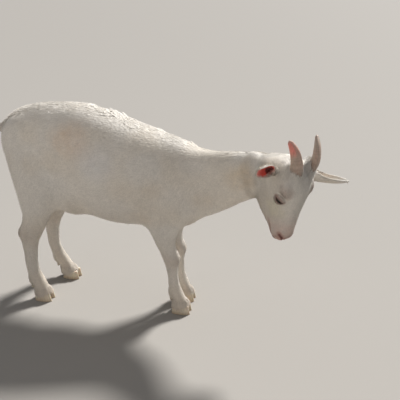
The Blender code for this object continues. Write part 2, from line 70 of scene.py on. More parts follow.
FLESH = ["trunk", "neck", "head", "tail", *LEG_NODES]
random = np.random.default_rng(11)

# Places


def box_of(names):
    """Lowest and highest corners of several CAD nodes together."""
    boxes = np.array([[tuple(c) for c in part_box(n)] for n in names])
    return boxes[:, 0].min(0), boxes[:, 1].max(0)


def pair_of(kind, end, side):
    return [f"{kind}_{end}_{side}_{where}" for where in ("inner", "outer")]


def middle_of(names):
    return sum(box_of(names)) / 2


TOE_AHEAD = 0.002  # how far the middle of a forefoot lies ahead of the origin
RIGHT_CLAWS, LEFT_CLAWS = (pair_of("claw", "fore", side) for side in SIDES)
ORIGIN = Vector((middle_of(RIGHT_CLAWS)[0] - TOE_AHEAD, middle_of(RIGHT_CLAWS + LEFT_CLAWS)[1], 0))

HEAD_SIZE = 1.08
HEAD_TURN = Matrix.Rotation(np.radians(-37), 4, "Z") @ Matrix.Rotation(np.radians(-3), 4, "X")
HEAD_TURN = HEAD_TURN @ Matrix.Rotation(np.radians(84), 4, "Y")
HEAD = Matrix.Translation(ORIGIN + Vector((0.328, -0.11, 0.606))) @ HEAD_TURN @ Matrix.Scale(HEAD_SIZE, 4)
HEAD_FROM = np.array(HEAD)
HEAD_TO = np.array(HEAD.inverted())
ON_HEAD = 0.4  # least share of the head in what is carved as part of it


def on_head(points):
    """World points in the head's own frame."""
    return points @ HEAD_TO[:3, :3].T + HEAD_TO[:3, 3]


def off_head(points):
    return points @ HEAD_FROM[:3, :3].T + HEAD_FROM[:3, 3]


def turned_off_head(ways):
    return unit(ways @ HEAD_FROM[:3, :3].T)


def counted(points):
    """World points counted from the origin, and the same in the head's frame."""
    return points - np.array(ORIGIN), on_head(points)


def sided(places_or_ways, side):
    """What is given for the left side of the head, for this side."""
    return np.array(places_or_ways) * (1, SIDES[side], 1)


# Numbers


def unit(v):
    v = np.asarray(v, float)
    return v / np.maximum(np.linalg.norm(v, axis=-1, keepdims=True), 1e-12)


def length(v):
    return np.linalg.norm(v, axis=1)


def ramp(x, low, high):
    """0 below low, 1 above high and smooth between, for low above high too."""
    t = np.clip((x - low) / (high - low), 0, 1)
    return t * t * (3 - 2 * t)


def bump(x, middle, reach):
    """1 at the middle, falling smoothly to 0 at this reach."""
    return ramp(np.abs(x - middle), reach, 0)


def noise(points, size, seed):
    """Smooth noise from 0 to 1 with features of about this size."""
    q = points / size + seed * 17.31
    cell = np.floor(q).astype(np.int64)
    f = q - cell
    f = f * f * (3 - 2 * f)
    total = np.zeros(len(points))
    for corner in range(8):
        step = np.array([corner & 1, corner >> 1 & 1, corner >> 2 & 1])
        c = cell + step
        h = (c[:, 0] * 73856093) ^ (c[:, 1] * 19349663) ^ (c[:, 2] * 83492791) ^ (seed * 2654435)
        h = (h * 1103515245 + 12345) & 0x7FFFFFFF
        h = (h ^ (h >> 13)) * 1274126177 & 0x7FFFFFFF
        total += np.prod(np.where(step == 1, f, 1 - f), axis=1) * (h / 0x7FFFFFFF)
    return total


def line_distance(points, line):
    """Distance to a line of points, and the share of its length at the nearest place."""
    line = np.asarray(line, float)
    best, share = np.full(len(points), 1e9), np.zeros(len(points))
    for k, (a, b) in enumerate(zip(line, line[1:])):
        t = np.clip(((points - a) @ (b - a)) / ((b - a) @ (b - a)), 0, 1)
        d = length(points - a - t[:, None] * (b - a))
        share = np.where(d < best, (k + t) / (len(line) - 1), share)
        best = np.minimum(d, best)
    return best, share


def spline(keys, values, at):
    """Values at the places at, on a smooth curve through the given values at rising keys."""
    keys, values = np.asarray(keys, float), np.asarray(values, float)
    slopes = np.gradient(values, keys, axis=0)
    i = np.clip(np.searchsorted(keys, at, side="right") - 1, 0, len(keys) - 2)
    span = (keys[i + 1] - keys[i])[:, None]
    t = (at - keys[i])[:, None] / span
    held = (2 * t**3 - 3 * t**2 + 1) * values[i] + (3 * t**2 - 2 * t**3) * values[i + 1]
    return held + (t**3 - 2 * t**2 + t) * span * slopes[i] + (t**3 - t**2) * span * slopes[i + 1]


def curve(at, table):
    """Values from a table of keys and values, on a smooth curve."""
    return spline(table[0], np.array(table[1])[:, None], at)[:, 0]


def circle(count):
    """Angles evenly round a circle."""
    return 2 * np.pi * np.arange(count) / count


# Meshes


def mesh_of(name, points, faces):
    """A mesh from arrays of points and of faces with equal numbers of corners."""
    points, faces = np.asarray(points, np.float32), np.asarray(faces, np.int32)
    mesh = bpy.data.meshes.new(name)
    mesh.vertices.add(len(points))
    mesh.vertices.foreach_set("co", points.ravel())
    mesh.loops.add(faces.size)
    mesh.loops.foreach_set("vertex_index", faces.ravel())
    mesh.polygons.add(len(faces))
    mesh.polygons.foreach_set("loop_start", np.arange(0, faces.size, faces.shape[1], dtype=np.int32))
    mesh.update(calc_edges=True)
    return mesh


def thing(name, mesh):
    made = bpy.data.objects.new(name, mesh)
    bpy.context.scene.collection.objects.link(made)
    return made


def numbers(items, name, width=1, kind=np.int32):
    found = np.empty(len(items) * width, kind)
    items.foreach_get(name, found)
    return found.reshape(-1, width) if width > 1 else found


def places(mesh):
    return numbers(mesh.vertices, "co", 3, np.float32).astype(float)


def normals(mesh):
    return numbers(mesh.vertex_normals, "vector", 3, np.float32).astype(float)


def put(mesh, points):
    mesh.vertices.foreach_set("co", np.asarray(points, np.float32).ravel())
    mesh.update()


def smooth(mesh, points, passes, share):
    """Values at a mesh's points moved towards the mean of their neighbours, each by its own share."""
    start, end = numbers(mesh.edges, "vertices", 2).T
    count = np.bincount(np.append(start, end), minlength=len(points)).clip(1)[:, None]
    share = np.broadcast_to(np.asarray(share, float), (len(points),))[:, None]
    for _ in range(passes):
        total = np.zeros_like(points)
        for axis in range(points.shape[1]):
            total[:, axis] = np.bincount(start, points[end, axis], len(points))
            total[:, axis] += np.bincount(end, points[start, axis], len(points))
        points = points + share * (total / count - points)
    return points


def settle(obj):
    """Applies the object's modifiers."""
    bpy.context.view_layer.update()
    graph = bpy.context.evaluated_depsgraph_get()
    made = bpy.data.meshes.new_from_object(obj.evaluated_get(graph))
    obj.modifiers.clear()
    obj.data = made


def edited(mesh, edit):
    """Runs an edit on the mesh's editable form."""
    bm = bmesh.new()
    bm.from_mesh(mesh)
    edit(bm)
    bm.to_mesh(mesh)
    bm.free()
    return mesh


def finer(mesh, chosen):
    """Halves the edges whose ends are both chosen."""
    def halve(bm):
        edges = [e for e in bm.edges if all(chosen[v.index] for v in e.verts)]
        bmesh.ops.subdivide_edges(bm, edges=edges, cuts=1, use_grid_fill=True)
    edited(mesh, halve)


def tint(mesh, colours):
    """Stores a colour for each point of the mesh."""
    rgba = np.ones((len(mesh.vertices), 4), np.float32)
    rgba[:, :3] = colours
    mesh.color_attributes.new("tint", "FLOAT_COLOR", "POINT").data.foreach_set("color", rgba.ravel())


def closed_tube(rings):
    """Points and triangles of a tube through rings of equal length, closed at both ends."""
    rings = np.asarray(rings, float)
    count, sides = rings.shape[:2]
    i = np.arange(sides)
    j = (i + 1) % sides
    faces = []
    for a in range(0, (count - 1) * sides, sides):
        b = a + sides
        faces += [np.stack([a + i, a + j, b + j], 1), np.stack([a + i, b + j, b + i], 1)]
    first = count * sides
    end = first - sides
    faces.append(np.stack([np.full(sides, first), j, i], 1))
    faces.append(np.stack([np.full(sides, first + 1), end + i, end + j], 1))
    points = np.concatenate([rings.reshape(-1, 3), [rings[0].mean(0)], [rings[-1].mean(0)]])
    return points, np.concatenate(faces)


def outward(points, faces):
    """The faces of a closed form, turned so that they all face out."""
    a, b, c = (points[faces[:, k]] - points.mean(0) for k in range(3))
    volume = np.einsum("ij,ij->i", a, np.cross(b, c)).sum()
    return faces if volume > 0 else faces[:, ::-1]


def finished(obj, material, slot, *nodes):
    """Gives a piece its material and body, and hides the CAD nodes it stands for. The slot is not used."""
    obj.data.materials.clear()
    obj.data.materials.append(material)
    obj.data.shade_smooth()
    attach(obj, "root")
    if nodes:
        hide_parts(*nodes)


def piece(name, points, faces, colours, look, slot, *nodes):
    mesh = mesh_of(name, points, faces)
    tint(mesh, colours)
    finished(thing(name, mesh), look, slot, *nodes)


# Ears

EAR_RINGS, EAR_SIDES = 44, 17
EAR_LENGTH, EAR_HALF_WIDTH, EAR_WALL = 0.121, 0.0184, 0.0024
EAR_ROOTED = 0.02  # how far an ear is set into the head
EAR_FLOOR, FLOOR_WALL = (0.43, 0.27), 0.92  # where a hollow narrows and ends, and its wall there by radius
EARS = {  # root, where it points, where its hollow faces and how much its tip curls that way
    "right": ((0.018, -0.05, -0.006), (-0.38, -0.84, 0.28), (0.57, -0.1, 0.68), 0.28),
    "left": ((0.054, 0.047, -0.006), (0.5, 0.62, 0.62), (-1.0, 0.0, 0.05), 0.37),
}
EAR_WIDTHS = {
    "right": ((0.0, 0.15, 0.32, 0.5, 0.7, 0.85, 0.94, 1.0), (0.7, 0.72, 0.84, 1.14, 1.12, 0.88, 0.56, 0.12)),
    "left": ((0.0, 0.15, 0.4, 0.62, 0.82, 0.94, 1.0), (0.62, 0.8, 1.0, 1.0, 0.84, 0.55, 0.1)),
}
EAR_HALF_WRAPS = {  # degrees that an ear is rolled to each side of its back, along it
    "right": ((0.0, 0.3, 0.41, 0.6, 1.0), (177.5, 175.0, 112.0, 80.0, 60.0)),
    "left": ((0.0, 0.2, 0.4, 1.0), (160.0, 140.0, 112.0, 75.0)),
}


def ear_frame(side):
    root, points_to, faces_to, curl = EARS[side]
    along = unit(points_to)
    hollow = np.array(faces_to)
    hollow = unit(hollow - along * (hollow @ along))
    return np.array(root), along, hollow, np.cross(along, hollow), curl


def ear_form(side):
    """A leaf rolled round its hollow: points in the world, faces, and which points line the hollow."""
    root, along, hollow, across, curl = ear_frame(side)
    rings, inside = [], []
    for s in np.linspace(-EAR_ROOTED / EAR_LENGTH, 1, EAR_RINGS):
        at = max(0.0, s)
        wrap, width = (float(curve(np.array([at]), t[side])[0]) for t in (EAR_HALF_WRAPS, EAR_WIDTHS))
        wrap = np.radians(wrap)
        fade = 1 - 0.35 * ramp(-s, 0, EAR_ROOTED / EAR_LENGTH)
        radius = fade * EAR_HALF_WIDTH * width / np.sin(min(wrap, np.pi / 2))
        back = root + along * EAR_LENGTH * s + hollow * EAR_LENGTH * curl * at * at
        centre = back + hollow * radius
        closed = ramp(at, *EAR_FLOOR)
        outer, inner = [], []
        for a in np.linspace(-wrap, wrap, EAR_SIDES):
            wavy = 1 + 0.05 * np.sin(7 * at + 2.5 * a) * at * (1 - at) * 4
            way = across * np.sin(a) - hollow * np.cos(a)
            wall = min(EAR_WALL * (1 - 0.55 * (a / wrap) ** 2), 0.6 * radius)
            wall = wall * (1 - closed) + FLOOR_WALL * radius * closed
            outer.append(centre + way * radius * wavy)
            inner.append(centre + way * (radius * wavy - wall))
        rings.append(outer + inner[::-1])
        inside += [False] * EAR_SIDES + [True] * EAR_SIDES
    points, faces = closed_tube(rings)
    return off_head(points), faces, np.array(inside + [False, False])


def with_ears(skin):
    """Joins the ears to the skin. Face material 1 then marks the ears' outside, and 2 their hollows."""
    for side in SIDES:
        points, faces, inside = ear_form(side)
        mesh = mesh_of("ear", points, faces)
        mesh.polygons.foreach_set("material_index", np.where(inside[faces].all(1), 2, 1).astype(np.int32))
        ear = thing("ear", edited(mesh, lambda bm: bmesh.ops.recalc_face_normals(bm, faces=bm.faces)))
        for target in (mesh, skin.data):
            while len(target.materials) < 3:
                target.materials.append(None)
        step = skin.modifiers.new("join", "BOOLEAN")
        step.operation, step.object, step.solver, step.material_mode = "UNION", ear, "EXACT", "INDEX"
        settle(skin)
        bpy.data.objects.remove(ear)


def points_on(mesh, *marks):
    """Which points touch a face with one of these material numbers."""
    chosen = np.isin(numbers(mesh.polygons, "material_index"), marks)
    corner_face = np.repeat(np.arange(len(mesh.polygons)), numbers(mesh.polygons, "loop_total"))
    found = np.zeros(len(mesh.vertices), bool)
    found[numbers(mesh.loops, "vertex_index")[chosen[corner_face]]] = True
    return found


def in_hollow(mesh):
    """1 on the lining of the ears, and on what shows of the head inside them."""
    found, on = points_on(mesh, 2).astype(float), on_head(places(mesh))
    for side in SIDES:
        root, along, hollow, _, curl = ear_frame(side)
        q = on - root
        s = q @ along / EAR_LENGTH
        radius = EAR_HALF_WIDTH * 0.75
        deep = q - along * (s * EAR_LENGTH)[:, None]
        deep = deep - hollow * (EAR_LENGTH * curl * s * s + radius * 1.1)[:, None]
        inside = (length(deep) < radius * 0.72) & (s > 0.0) & (s < 0.42)
        found = np.maximum(found, inside & ~points_on(mesh, 1))
    return found


def by_rims(mesh, of_left, of_right):
    """Ramps from the rims of the left and the right ear's hollow: passes that spread them, and limits."""
    edge = (points_on(mesh, 1) & points_on(mesh, 2))[:, None].astype(float)
    rims = [ramp(smooth(mesh, edge, passes, 0.6)[:, 0], *limits) for passes, *limits in (of_left, of_right)]
    return np.where(on_head(places(mesh))[:, 1] > 0, *rims)


# Face, in the head's frame

LID = 0.0014  # how far the lids stand off the eyeball
EYE_AT, EYE_RADIUS = (0.096, 0.043, 0.019), 0.0135
SLIT_HALF, SLIT_UP, SLIT_DOWN = 0.0118, 0.0034, 0.0036  # half the eye's opening, and its reach to each lid
GAZE, SLIT_WAY = (0.22, 0.9, 0.37), (0.74, 0.0, 0.67)
NOSTRIL = ((0.2235, 0.006, -0.006), (0.219, 0.012, 0.001), (0.211, 0.0195, 0.0035), (0.203, 0.023, 0.0))
WING = ((0.206, 0.013, 0.0075), (0.196, 0.02, 0.006))
UNDER_EYE = ((0.108, 0.047, 0.0265), (0.128, 0.04, 0.023), (0.15, 0.033, 0.015))
MOUTH = ((0.15, 0.163, 0.18, 0.2, 0.215, 0.23), (-0.029, -0.0315, -0.0345, -0.034, -0.0315, -0.03))
MOUTH_CORNER = 0.163


def head_share(place):
    """1 on the head and 0 behind it, for places in the head's frame."""
    near = ramp(length(place), 0.285, 0.265)
    return ramp(place[:, 0], -0.035, 0.01) * ramp(place[:, 2], -0.125, -0.095) * near


def off_mouth(on):
    return on[:, 2] - np.interp(on[:, 0], *MOUTH)


def eye_frame(side):
    """Centre of the eyeball, and ways: along the gaze, along the opening to the nose, to the upper lid."""
    out = sided(unit(GAZE), side)
    along = np.array(SLIT_WAY)
    along = unit(along - out * (along @ out))
    upper = np.cross(along, out)
    return sided(EYE_AT, side), out, along, upper * np.sign(upper[2])


def eye_distance(on, side):
    return length(on - eye_frame(side)[0])


def slit_edges(t):
    """Reach of the eye's opening to its upper and lower edge, at this place along it."""
    open_share = np.clip(1 - (t / SLIT_HALF) ** 2, 0, 1)
    return SLIT_UP * open_share**0.8, -SLIT_DOWN * open_share**0.9


def by_eye(on, side):
    """Places from an eyeball's centre, as out, along and up, and the edges of its opening there."""
    centre, *ways = eye_frame(side)
    g, t, b = ((on - centre) @ way for way in ways)
    return g, t, b, *slit_edges(t)


def with_eyelids(on, side):
    """Draws the skin round an eyeball as lids, and sinks it behind the eyeball in the opening."""
    g, t, b, top, bottom = by_eye(on, side)
    off = np.hypot(t, b)
    near = (g > 0) & (off < 0.03)
    lid = EYE_RADIUS + LID
    held = np.minimum(off, 0.0128)
    ball = np.sqrt(lid**2 - held**2) - (off - held) * 0.9
    share = ramp(off, 0.0205, 0.012) * near
    within = np.minimum(top - b, b - bottom)
    sink = 0.0045 * ramp(within, -0.0001, 0.0009) * (np.abs(t) < SLIT_HALF) * (off < lid)
    crease = 0.0011 * bump(b - top, 0.0038, 0.0016) * bump(t, 0.0005, 0.0135) * (b > 0)
    crease += 0.0006 * bump(b - bottom, -0.0046, 0.0018) * bump(t, 0.0005, 0.012) * (b < 0)
    bag = 0.001 * bump(b - top, 0.0072, 0.0036) * bump(t, -0.001, 0.016) * (b > 0)
    moved = g * (1 - share) + ball * share - sink - (crease - bag) * near
    return on + (np.where(near, moved, g) - g)[:, None] * eye_frame(side)[1]


def carved(on, inwards, line, widths, depth):
    """Sinks the surface along a line, by the widths and depth given along it."""
    d, s = line_distance(on, line)
    width = np.interp(s, np.linspace(0, 1, len(widths)), widths)
    amount = depth * np.clip(1 - (d / width) ** 2, 0, 1) ** 1.5
    return on + inwards * amount[:, None]


def face_carved(on, inwards):
    for side in SIDES:
        on = carved(on, inwards, sided(NOSTRIL, side), (0.0034, 0.0036, 0.0028, 0.0014), 0.0052)
        on = carved(on, -inwards, sided(WING, side), (0.006, 0.005), 0.001)
        on = carved(on, inwards, sided(UNDER_EYE, side), (0.0035, 0.0045, 0.004), 0.0009)
    off = np.abs(off_mouth(on))
    lips = ramp(on[:, 0], MOUTH_CORNER - 0.004, MOUTH_CORNER + 0.006)
    on = on + inwards * (0.0024 * ramp(off, 0.0019, 0) * lips)[:, None]
    plump = bump(off, 0.0048, 0.0034) * ramp(on[:, 0], MOUTH_CORNER + 0.01, 0.2)
    on = on - inwards * (0.0007 * plump)[:, None]
    u, v, w = on.T
    cleft = ramp(np.abs(v), 0.002, 0) * ramp(u, 0.205, 0.215) * bump(w, -0.016, 0.017)
    return on + inwards * (0.0016 * cleft)[:, None]


# Skin

SKIN_GRAIN = 0.0056
SOFTENED = 60  # passes that smooth the body and the nape
GROWN, EYE_SHRUNK = 0.0006, -0.0008  # swells nodes across the cuts between them, and keeps the eyes inside
# Depth of the coat: the skin lies this far inside the CAD's outline
BODY_COAT, LEG_COAT, FOOT_COAT, FACE_COAT, NOSE_COAT = 0.0032, 0.002, 0.0013, 0.0017, 0.0008
SPINE_COAT = 0.005


def joined_flesh():
    """The CAD's flesh as one closed surface, with the cuts between its nodes and the eye sockets filled."""
    def gather(bm):
        for node in FLESH + ["eye_right", "eye_left"]:
            swell = EYE_SHRUNK if node.startswith("eye") else GROWN

            def weld(part):
                bmesh.ops.remove_doubles(part, verts=part.verts, dist=1e-6)
                part.normal_update()
                for v in part.verts:
                    v.co += v.normal * swell

            bm.from_mesh(edited(frame["nodes"][node].data.copy(), weld))

    skin = thing("skin", edited(bpy.data.meshes.new("skin"), gather))
    melt = skin.modifiers.new("melt", "REMESH")
    melt.mode, melt.voxel_size, melt.adaptivity = "VOXEL", SKIN_GRAIN, 0
    settle(skin)
    return skin


def coat_depth(points):
    m, on = counted(points)
    x, y, z = m.T
    u = on[:, 0]
    depth = LEG_COAT + (BODY_COAT - LEG_COAT) * ramp(z, 0.26, 0.36)
    depth = FOOT_COAT + (depth - FOOT_COAT) * ramp(z, 0.06, 0.16)
    top = bump(y + 0.12 * ramp(x, 0.05, 0.35), 0, 0.05) * ramp(z, 0.5, 0.58)
    depth = depth + (SPINE_COAT - depth) * top
    face = FACE_COAT + (NOSE_COAT - FACE_COAT) * ramp(u, 0.13, 0.2)
    head = head_share(on)
    return depth * (1 - head) + face * head


def body_folded(points, inwards):
    """Soft folds of skin: at the elbow, the flank, and the throat where the head turns."""
    m, on = counted(points)
    u, v, w = on.T
    amount = np.zeros(len(points))
    for side in SIDES:
        elbow = sided(((-0.118, 0.085, 0.335), (-0.108, 0.09, 0.4), (-0.07, 0.092, 0.455)), side)
        flank = sided(((-0.362, 0.1, 0.37), (-0.352, 0.115, 0.43), (-0.362, 0.118, 0.5)), side)
        for line, width, depth in ((elbow, 0.022, 0.003), (flank, 0.03, 0.0022)):
            d, s = line_distance(m, line)
            amount += depth * np.clip(1 - (d / width) ** 2, 0, 1) ** 2 * (1 - 0.6 * s)
    throat = bump(u, -0.02, 0.045) * ramp(w, -0.045, -0.085) * ramp(w, -0.2, -0.15)
    amount += 0.0009 * throat * np.sin(u * 420 + v * 90)
    return points + inwards * amount[:, None]


def made_skin():
    skin = joined_flesh()
    mesh = skin.data
    points = smooth(mesh, places(mesh), 3, 0.5)
    body = ramp(points[:, 2], 0.24, 0.34) * (1 - head_share(on_head(points)))
    soft = smooth(mesh, points, SOFTENED, 0.5 * body)
    points = soft + smooth(mesh, points - soft, SOFTENED, 0.5 * body)
    on = on_head(points)
    nape = bump(on[:, 0], -0.03, 0.065) * ramp(on[:, 2], -0.085, -0.035)
    points = smooth(mesh, points, SOFTENED, 0.5 * nape)
    put(mesh, points)
    put(mesh, points - normals(mesh) * coat_depth(points)[:, None])
    with_ears(skin)
    mesh = skin.data
    for reach, passes in (("head", 3), ("face", 2), ("eyes", 1)):
        on = on_head(places(mesh))
        head, off = head_share(on) > ON_HEAD, np.minimum(*(eye_distance(on, side) for side in SIDES))
        chosen = {"head": head, "face": (on[:, 0] > 0.16) & head | (off < 0.032), "eyes": off < 0.0235}[reach]
        finer(mesh, chosen & ~points_on(mesh, 1, 2))
        points, ear = places(mesh), points_on(mesh, 1, 2)
        near = (head_share(on_head(points)) > ON_HEAD) & ~ear
        put(mesh, smooth(mesh, points, passes, 0.5 * near))
    points, inwards = places(mesh), -normals(mesh)
    on = on_head(points)
    near = (head_share(on) > ON_HEAD) & ~ear
    for side in SIDES:
        on = with_eyelids(on, side)
    on = face_carved(on, unit(inwards @ HEAD_TO[:3, :3].T))
    points = np.where(near[:, None], off_head(on), points)
    put(mesh, np.where(ear[:, None], points, body_folded(points, inwards)))
    return skin


def unwrapped(obj):
    """Lays the object's surface out flat on a map of its own."""
    for other in bpy.context.view_layer.objects:
        other.select_set(other is obj)
    bpy.context.view_layer.objects.active = obj
    obj.data.uv_layers.new(name="unwrap")
    bpy.ops.object.mode_set(mode="EDIT")
    bpy.ops.mesh.select_all(action="SELECT")
    bpy.ops.uv.smart_project(angle_limit=1.15, island_margin=0.002)
    bpy.ops.object.mode_set(mode="OBJECT")


# Markings

WHITE, CREAM, WARM, PEACH = (0.8, 0.755, 0.69), (0.78, 0.7, 0.59), (0.76, 0.66, 0.54), (0.8, 0.64, 0.49)
# The cool grey tone is painted shade from the sky, not a colour of the coat
SOILED, EARTH, TAN, COOL_SHADE = (0.6, 0.49, 0.4), (0.4, 0.3, 0.21), (0.76, 0.62, 0.45), (0.74, 0.735, 0.75)
# The nostrils' near-black tone is painted shade inside their openings
MUZZLE, NOSE, NOSTRIL_SHADE = (0.72, 0.52, 0.44), (0.46, 0.27, 0.22), (0.19, 0.075, 0.06)
SEAT, BROW, BROW_HAIR, CHEEK = (0.62, 0.42, 0.35), (0.52, 0.38, 0.31), (0.4, 0.31, 0.26), (0.8, 0.74, 0.57)
LID_SKIN, LID_RIM = (0.42, 0.27, 0.22), (0.115, 0.07, 0.058)
# Ear linings: the right one's pink skin made bright red as a painted glow of light through the ear, the left
# one darkened as painted shade, and near black deep in each hollow as painted shade
EAR_PINK, EAR_DEEP_SHADE = (0.8, 0.36, 0.3), (0.14, 0.03, 0.025)
EAR_LINING_GLOW_AND_SHADE = {"right": (0.9, 0.19, 0.145), "left": (0.34, 0.2, 0.17)}
PATCHES = (  # place, reach, colour and strength of the faint patches on the body; the two cool grey ones on its right side are painted shade
    ((-0.31, -0.12, 0.6), 0.11, PEACH, 0.85), ((-0.455, -0.095, 0.52), 0.06, CREAM, 0.5),
    ((-0.15, -0.12, 0.47), 0.07, CREAM, 0.35), ((-0.1, -0.105, 0.36), 0.05, WARM, 0.7),
    ((-0.112, -0.092, 0.345), 0.026, EARTH, 0.7), ((-0.32, 0.12, 0.56), 0.08, PEACH, 0.3),
    ((-0.12, 0.095, 0.345), 0.026, SOILED, 0.4), ((0.08, -0.05, 0.44), 0.06, WARM, 0.55),
    ((0.19, -0.11, 0.52), 0.095, TAN, 0.75), ((0.06, -0.085, 0.545), 0.08, COOL_SHADE, 0.55),
    ((-0.23, -0.13, 0.56), 0.12, COOL_SHADE, 0.45), ((-0.06, -0.11, 0.47), 0.06, TAN, 0.3),
)
FACE_PATCHES = (  # the same on both sides of the head: over the eye, under it and on the jaw
    ((0.08, 0.04, 0.04), 0.024, BROW, 0.5), ((0.128, 0.04, -0.004), 0.036, CHEEK, 0.45),
    ((0.04, 0.052, -0.03), 0.03, CREAM, 0.35),
)
DARK_LINES = (  # the nostril, the tear line and the dark hair over the eye
    NOSTRIL, ((0.106, 0.047, 0.025), (0.126, 0.041, 0.02)),
    ((0.066, 0.047, 0.033), (0.076, 0.0465, 0.0345), (0.085, 0.044, 0.037)),
)


def mix(first, second, share):
    """One colour or several, moved towards others by this share for each point."""
    first = np.asarray(first, float)
    return first + (np.asarray(second) - first) * np.asarray(share)[:, None]


def marked(points, ways, hollow):
    """The colour of skin and coat at these places. The hollow is 1 inside an ear."""
    m, on = counted(points)
    x, y, z = m.T
    u, _, w = on.T
    head = head_share(on)
    cloud, speck = noise(points, 0.075, 3), noise(points, 0.016, 4)
    # Warmer and darker where the surface faces down: painted shade of the undersides
    under = ramp(-ways[:, 2], 0.05, 0.9) * (0.6 + 0.4 * speck)
    shades = [(CREAM, 0.5 * ramp(cloud, 0.35, 0.8)), (WARM, 0.45 * under)]
    for place, reach, shade, strength in PATCHES:
        off = length((m - place) * (1, 1, 1.25)) + reach * 0.5 * (cloud - 0.5)
        shades.append((shade, strength * ramp(off, reach, 0.2 * reach) * (0.75 + 0.5 * (speck - 0.5))))
    joint = np.where(x < -0.25, bump(z, 0.262, 0.06), bump(z, 0.205, 0.055))
    seat = ramp(-x, 0.46, 0.52) * bump(z, 0.5, 0.1) * ramp(np.abs(y), 0.05, 0.0)
    lip = bump(np.abs(off_mouth(on)), 0, 0.008) * ramp(u, MOUTH_CORNER - 0.008, 0.185)
    shades += [
        (SOILED, 0.4 * joint * (0.4 + 0.9 * speck).clip(0, 1) * (1 - head)),
        (WARM, 0.35 * ramp(z, 0.34, 0.05) * (1 - head)),
        (SOILED, 0.55 * ramp(z, 0.085, 0.02) * (0.2 + speck)),
        (SEAT, 0.5 * seat),
        (MUZZLE, 0.8 * ramp(u, 0.135, 0.215) * head * (0.8 + 0.5 * (speck - 0.5))),
        (NOSE, 0.75 * lip * head),
        (NOSE, ramp(u, 0.205, 0.215) * bump(w, -0.006, 0.026) * head),
    ]
    grain = ramp(np.sin(u * 1500 + 900 * w + 5 * speck), 0.0, 0.8)
    for side in SIDES:
        nostril, tear, brow = (line_distance(on, sided(line, side))[0] for line in DARK_LINES)
        shades += [
            (NOSE, 0.8 * ramp(nostril, 0.011, 0.005) * head),
            # Near black inside the nostrils' openings: painted shade of the holes
            (NOSTRIL_SHADE, ramp(nostril, 0.0056, 0.0026) * head),
            (LID_SKIN, 0.65 * ramp(tear, 0.0042, 0.001) * head),
            (BROW_HAIR, 0.7 * ramp(brow, 0.0135, 0.002) * grain * head),
        ]
        for place, reach, shade, strength in FACE_PATCHES:
            off = length(on - sided(place, side)) + reach * 0.5 * (speck - 0.5)
            shades.append((shade, strength * ramp(off, reach, 0.3 * reach) * head))
    for side in SIDES:
        g, t, b, top, bottom = by_eye(on, side)
        off = np.hypot((np.abs(t) - SLIT_HALF).clip(0), np.maximum(b - top, bottom - b).clip(0))
        root, way, *_ = ear_frame(side)
        s = (on - root) @ way / EAR_LENGTH
        # In each ear's hollow: the painted glow or painted shade of its lining, its own pink skin towards the
        # tip, and painted shade near black deep inside
        red = mix(mix(EAR_LINING_GLOW_AND_SHADE[side], EAR_PINK, ramp(s, 0.5, 0.95)), EAR_DEEP_SHADE,
                  0.85 * ramp(s, 0.33, 0.27) * ramp(speck, -0.1, 0.5))
        shades += [
            (LID_SKIN, 0.85 * ramp(off, 0.0095, 0.0006) * (g > 0) * head),
            (LID_RIM, ramp(off, 0.0016, 0.0003) * (g > 0) * (np.hypot(t, b) < 0.02) * head),
            (red, hollow * (length(on - root) < EAR_LENGTH * 1.2)),
        ]
    colour = WHITE
    for shade, share in shades:
        colour = mix(colour, shade, share)
    return colour


# Coat

FLOW = (  # places on the right side of the body, and how the hair lies there
    ((-0.52, -0.02, 0.64), (-0.85, 0.0, -0.6)), ((-0.45, -0.08, 0.62), (-0.9, 0.0, -0.55)),
    ((-0.51, -0.05, 0.52), (-0.25, 0.0, -1.0)), ((-0.43, -0.11, 0.45), (-0.4, 0.0, -1.0)),
    ((-0.3, -0.13, 0.54), (-1.0, 0.0, -0.45)), ((-0.2, -0.13, 0.45), (-1.0, 0.0, -0.4)),
    ((-0.3, -0.1, 0.37), (-1.0, 0.0, -0.25)), ((-0.2, 0.0, 0.67), (-1.0, 0.0, -0.05)),
    ((-0.04, 0.0, 0.62), (-1.0, 0.0, -0.1)), ((-0.03, -0.1, 0.5), (-0.6, 0.0, -0.85)),
    ((-0.03, -0.08, 0.35), (-0.15, 0.0, -1.0)), ((0.07, -0.03, 0.4), (0.0, 0.0, -1.0)),
    ((0.1, -0.06, 0.54), (-0.8, 0.15, -0.55)), ((-0.2, 0.0, 0.33), (-1.0, 0.0, 0.0)),
)
NECK_FLOW = (
    ((0.15, -0.06, 0.62), (-0.95, 0.25, -0.2)), ((0.24, -0.12, 0.59), (-0.9, 0.35, -0.3)),
    ((0.23, -0.05, 0.6), (-0.9, 0.25, -0.35)), ((0.2, -0.08, 0.5), (-0.75, 0.2, -0.65)),
)
TAIL_WAY = (-0.85, 0.0, -0.53)
LOOK_SHARE = 1.0
BODY_DENSITY, LEG_DENSITY, FACE_DENSITY, EAR_DENSITY = 22e4, 36e4, 82e4, 40e4


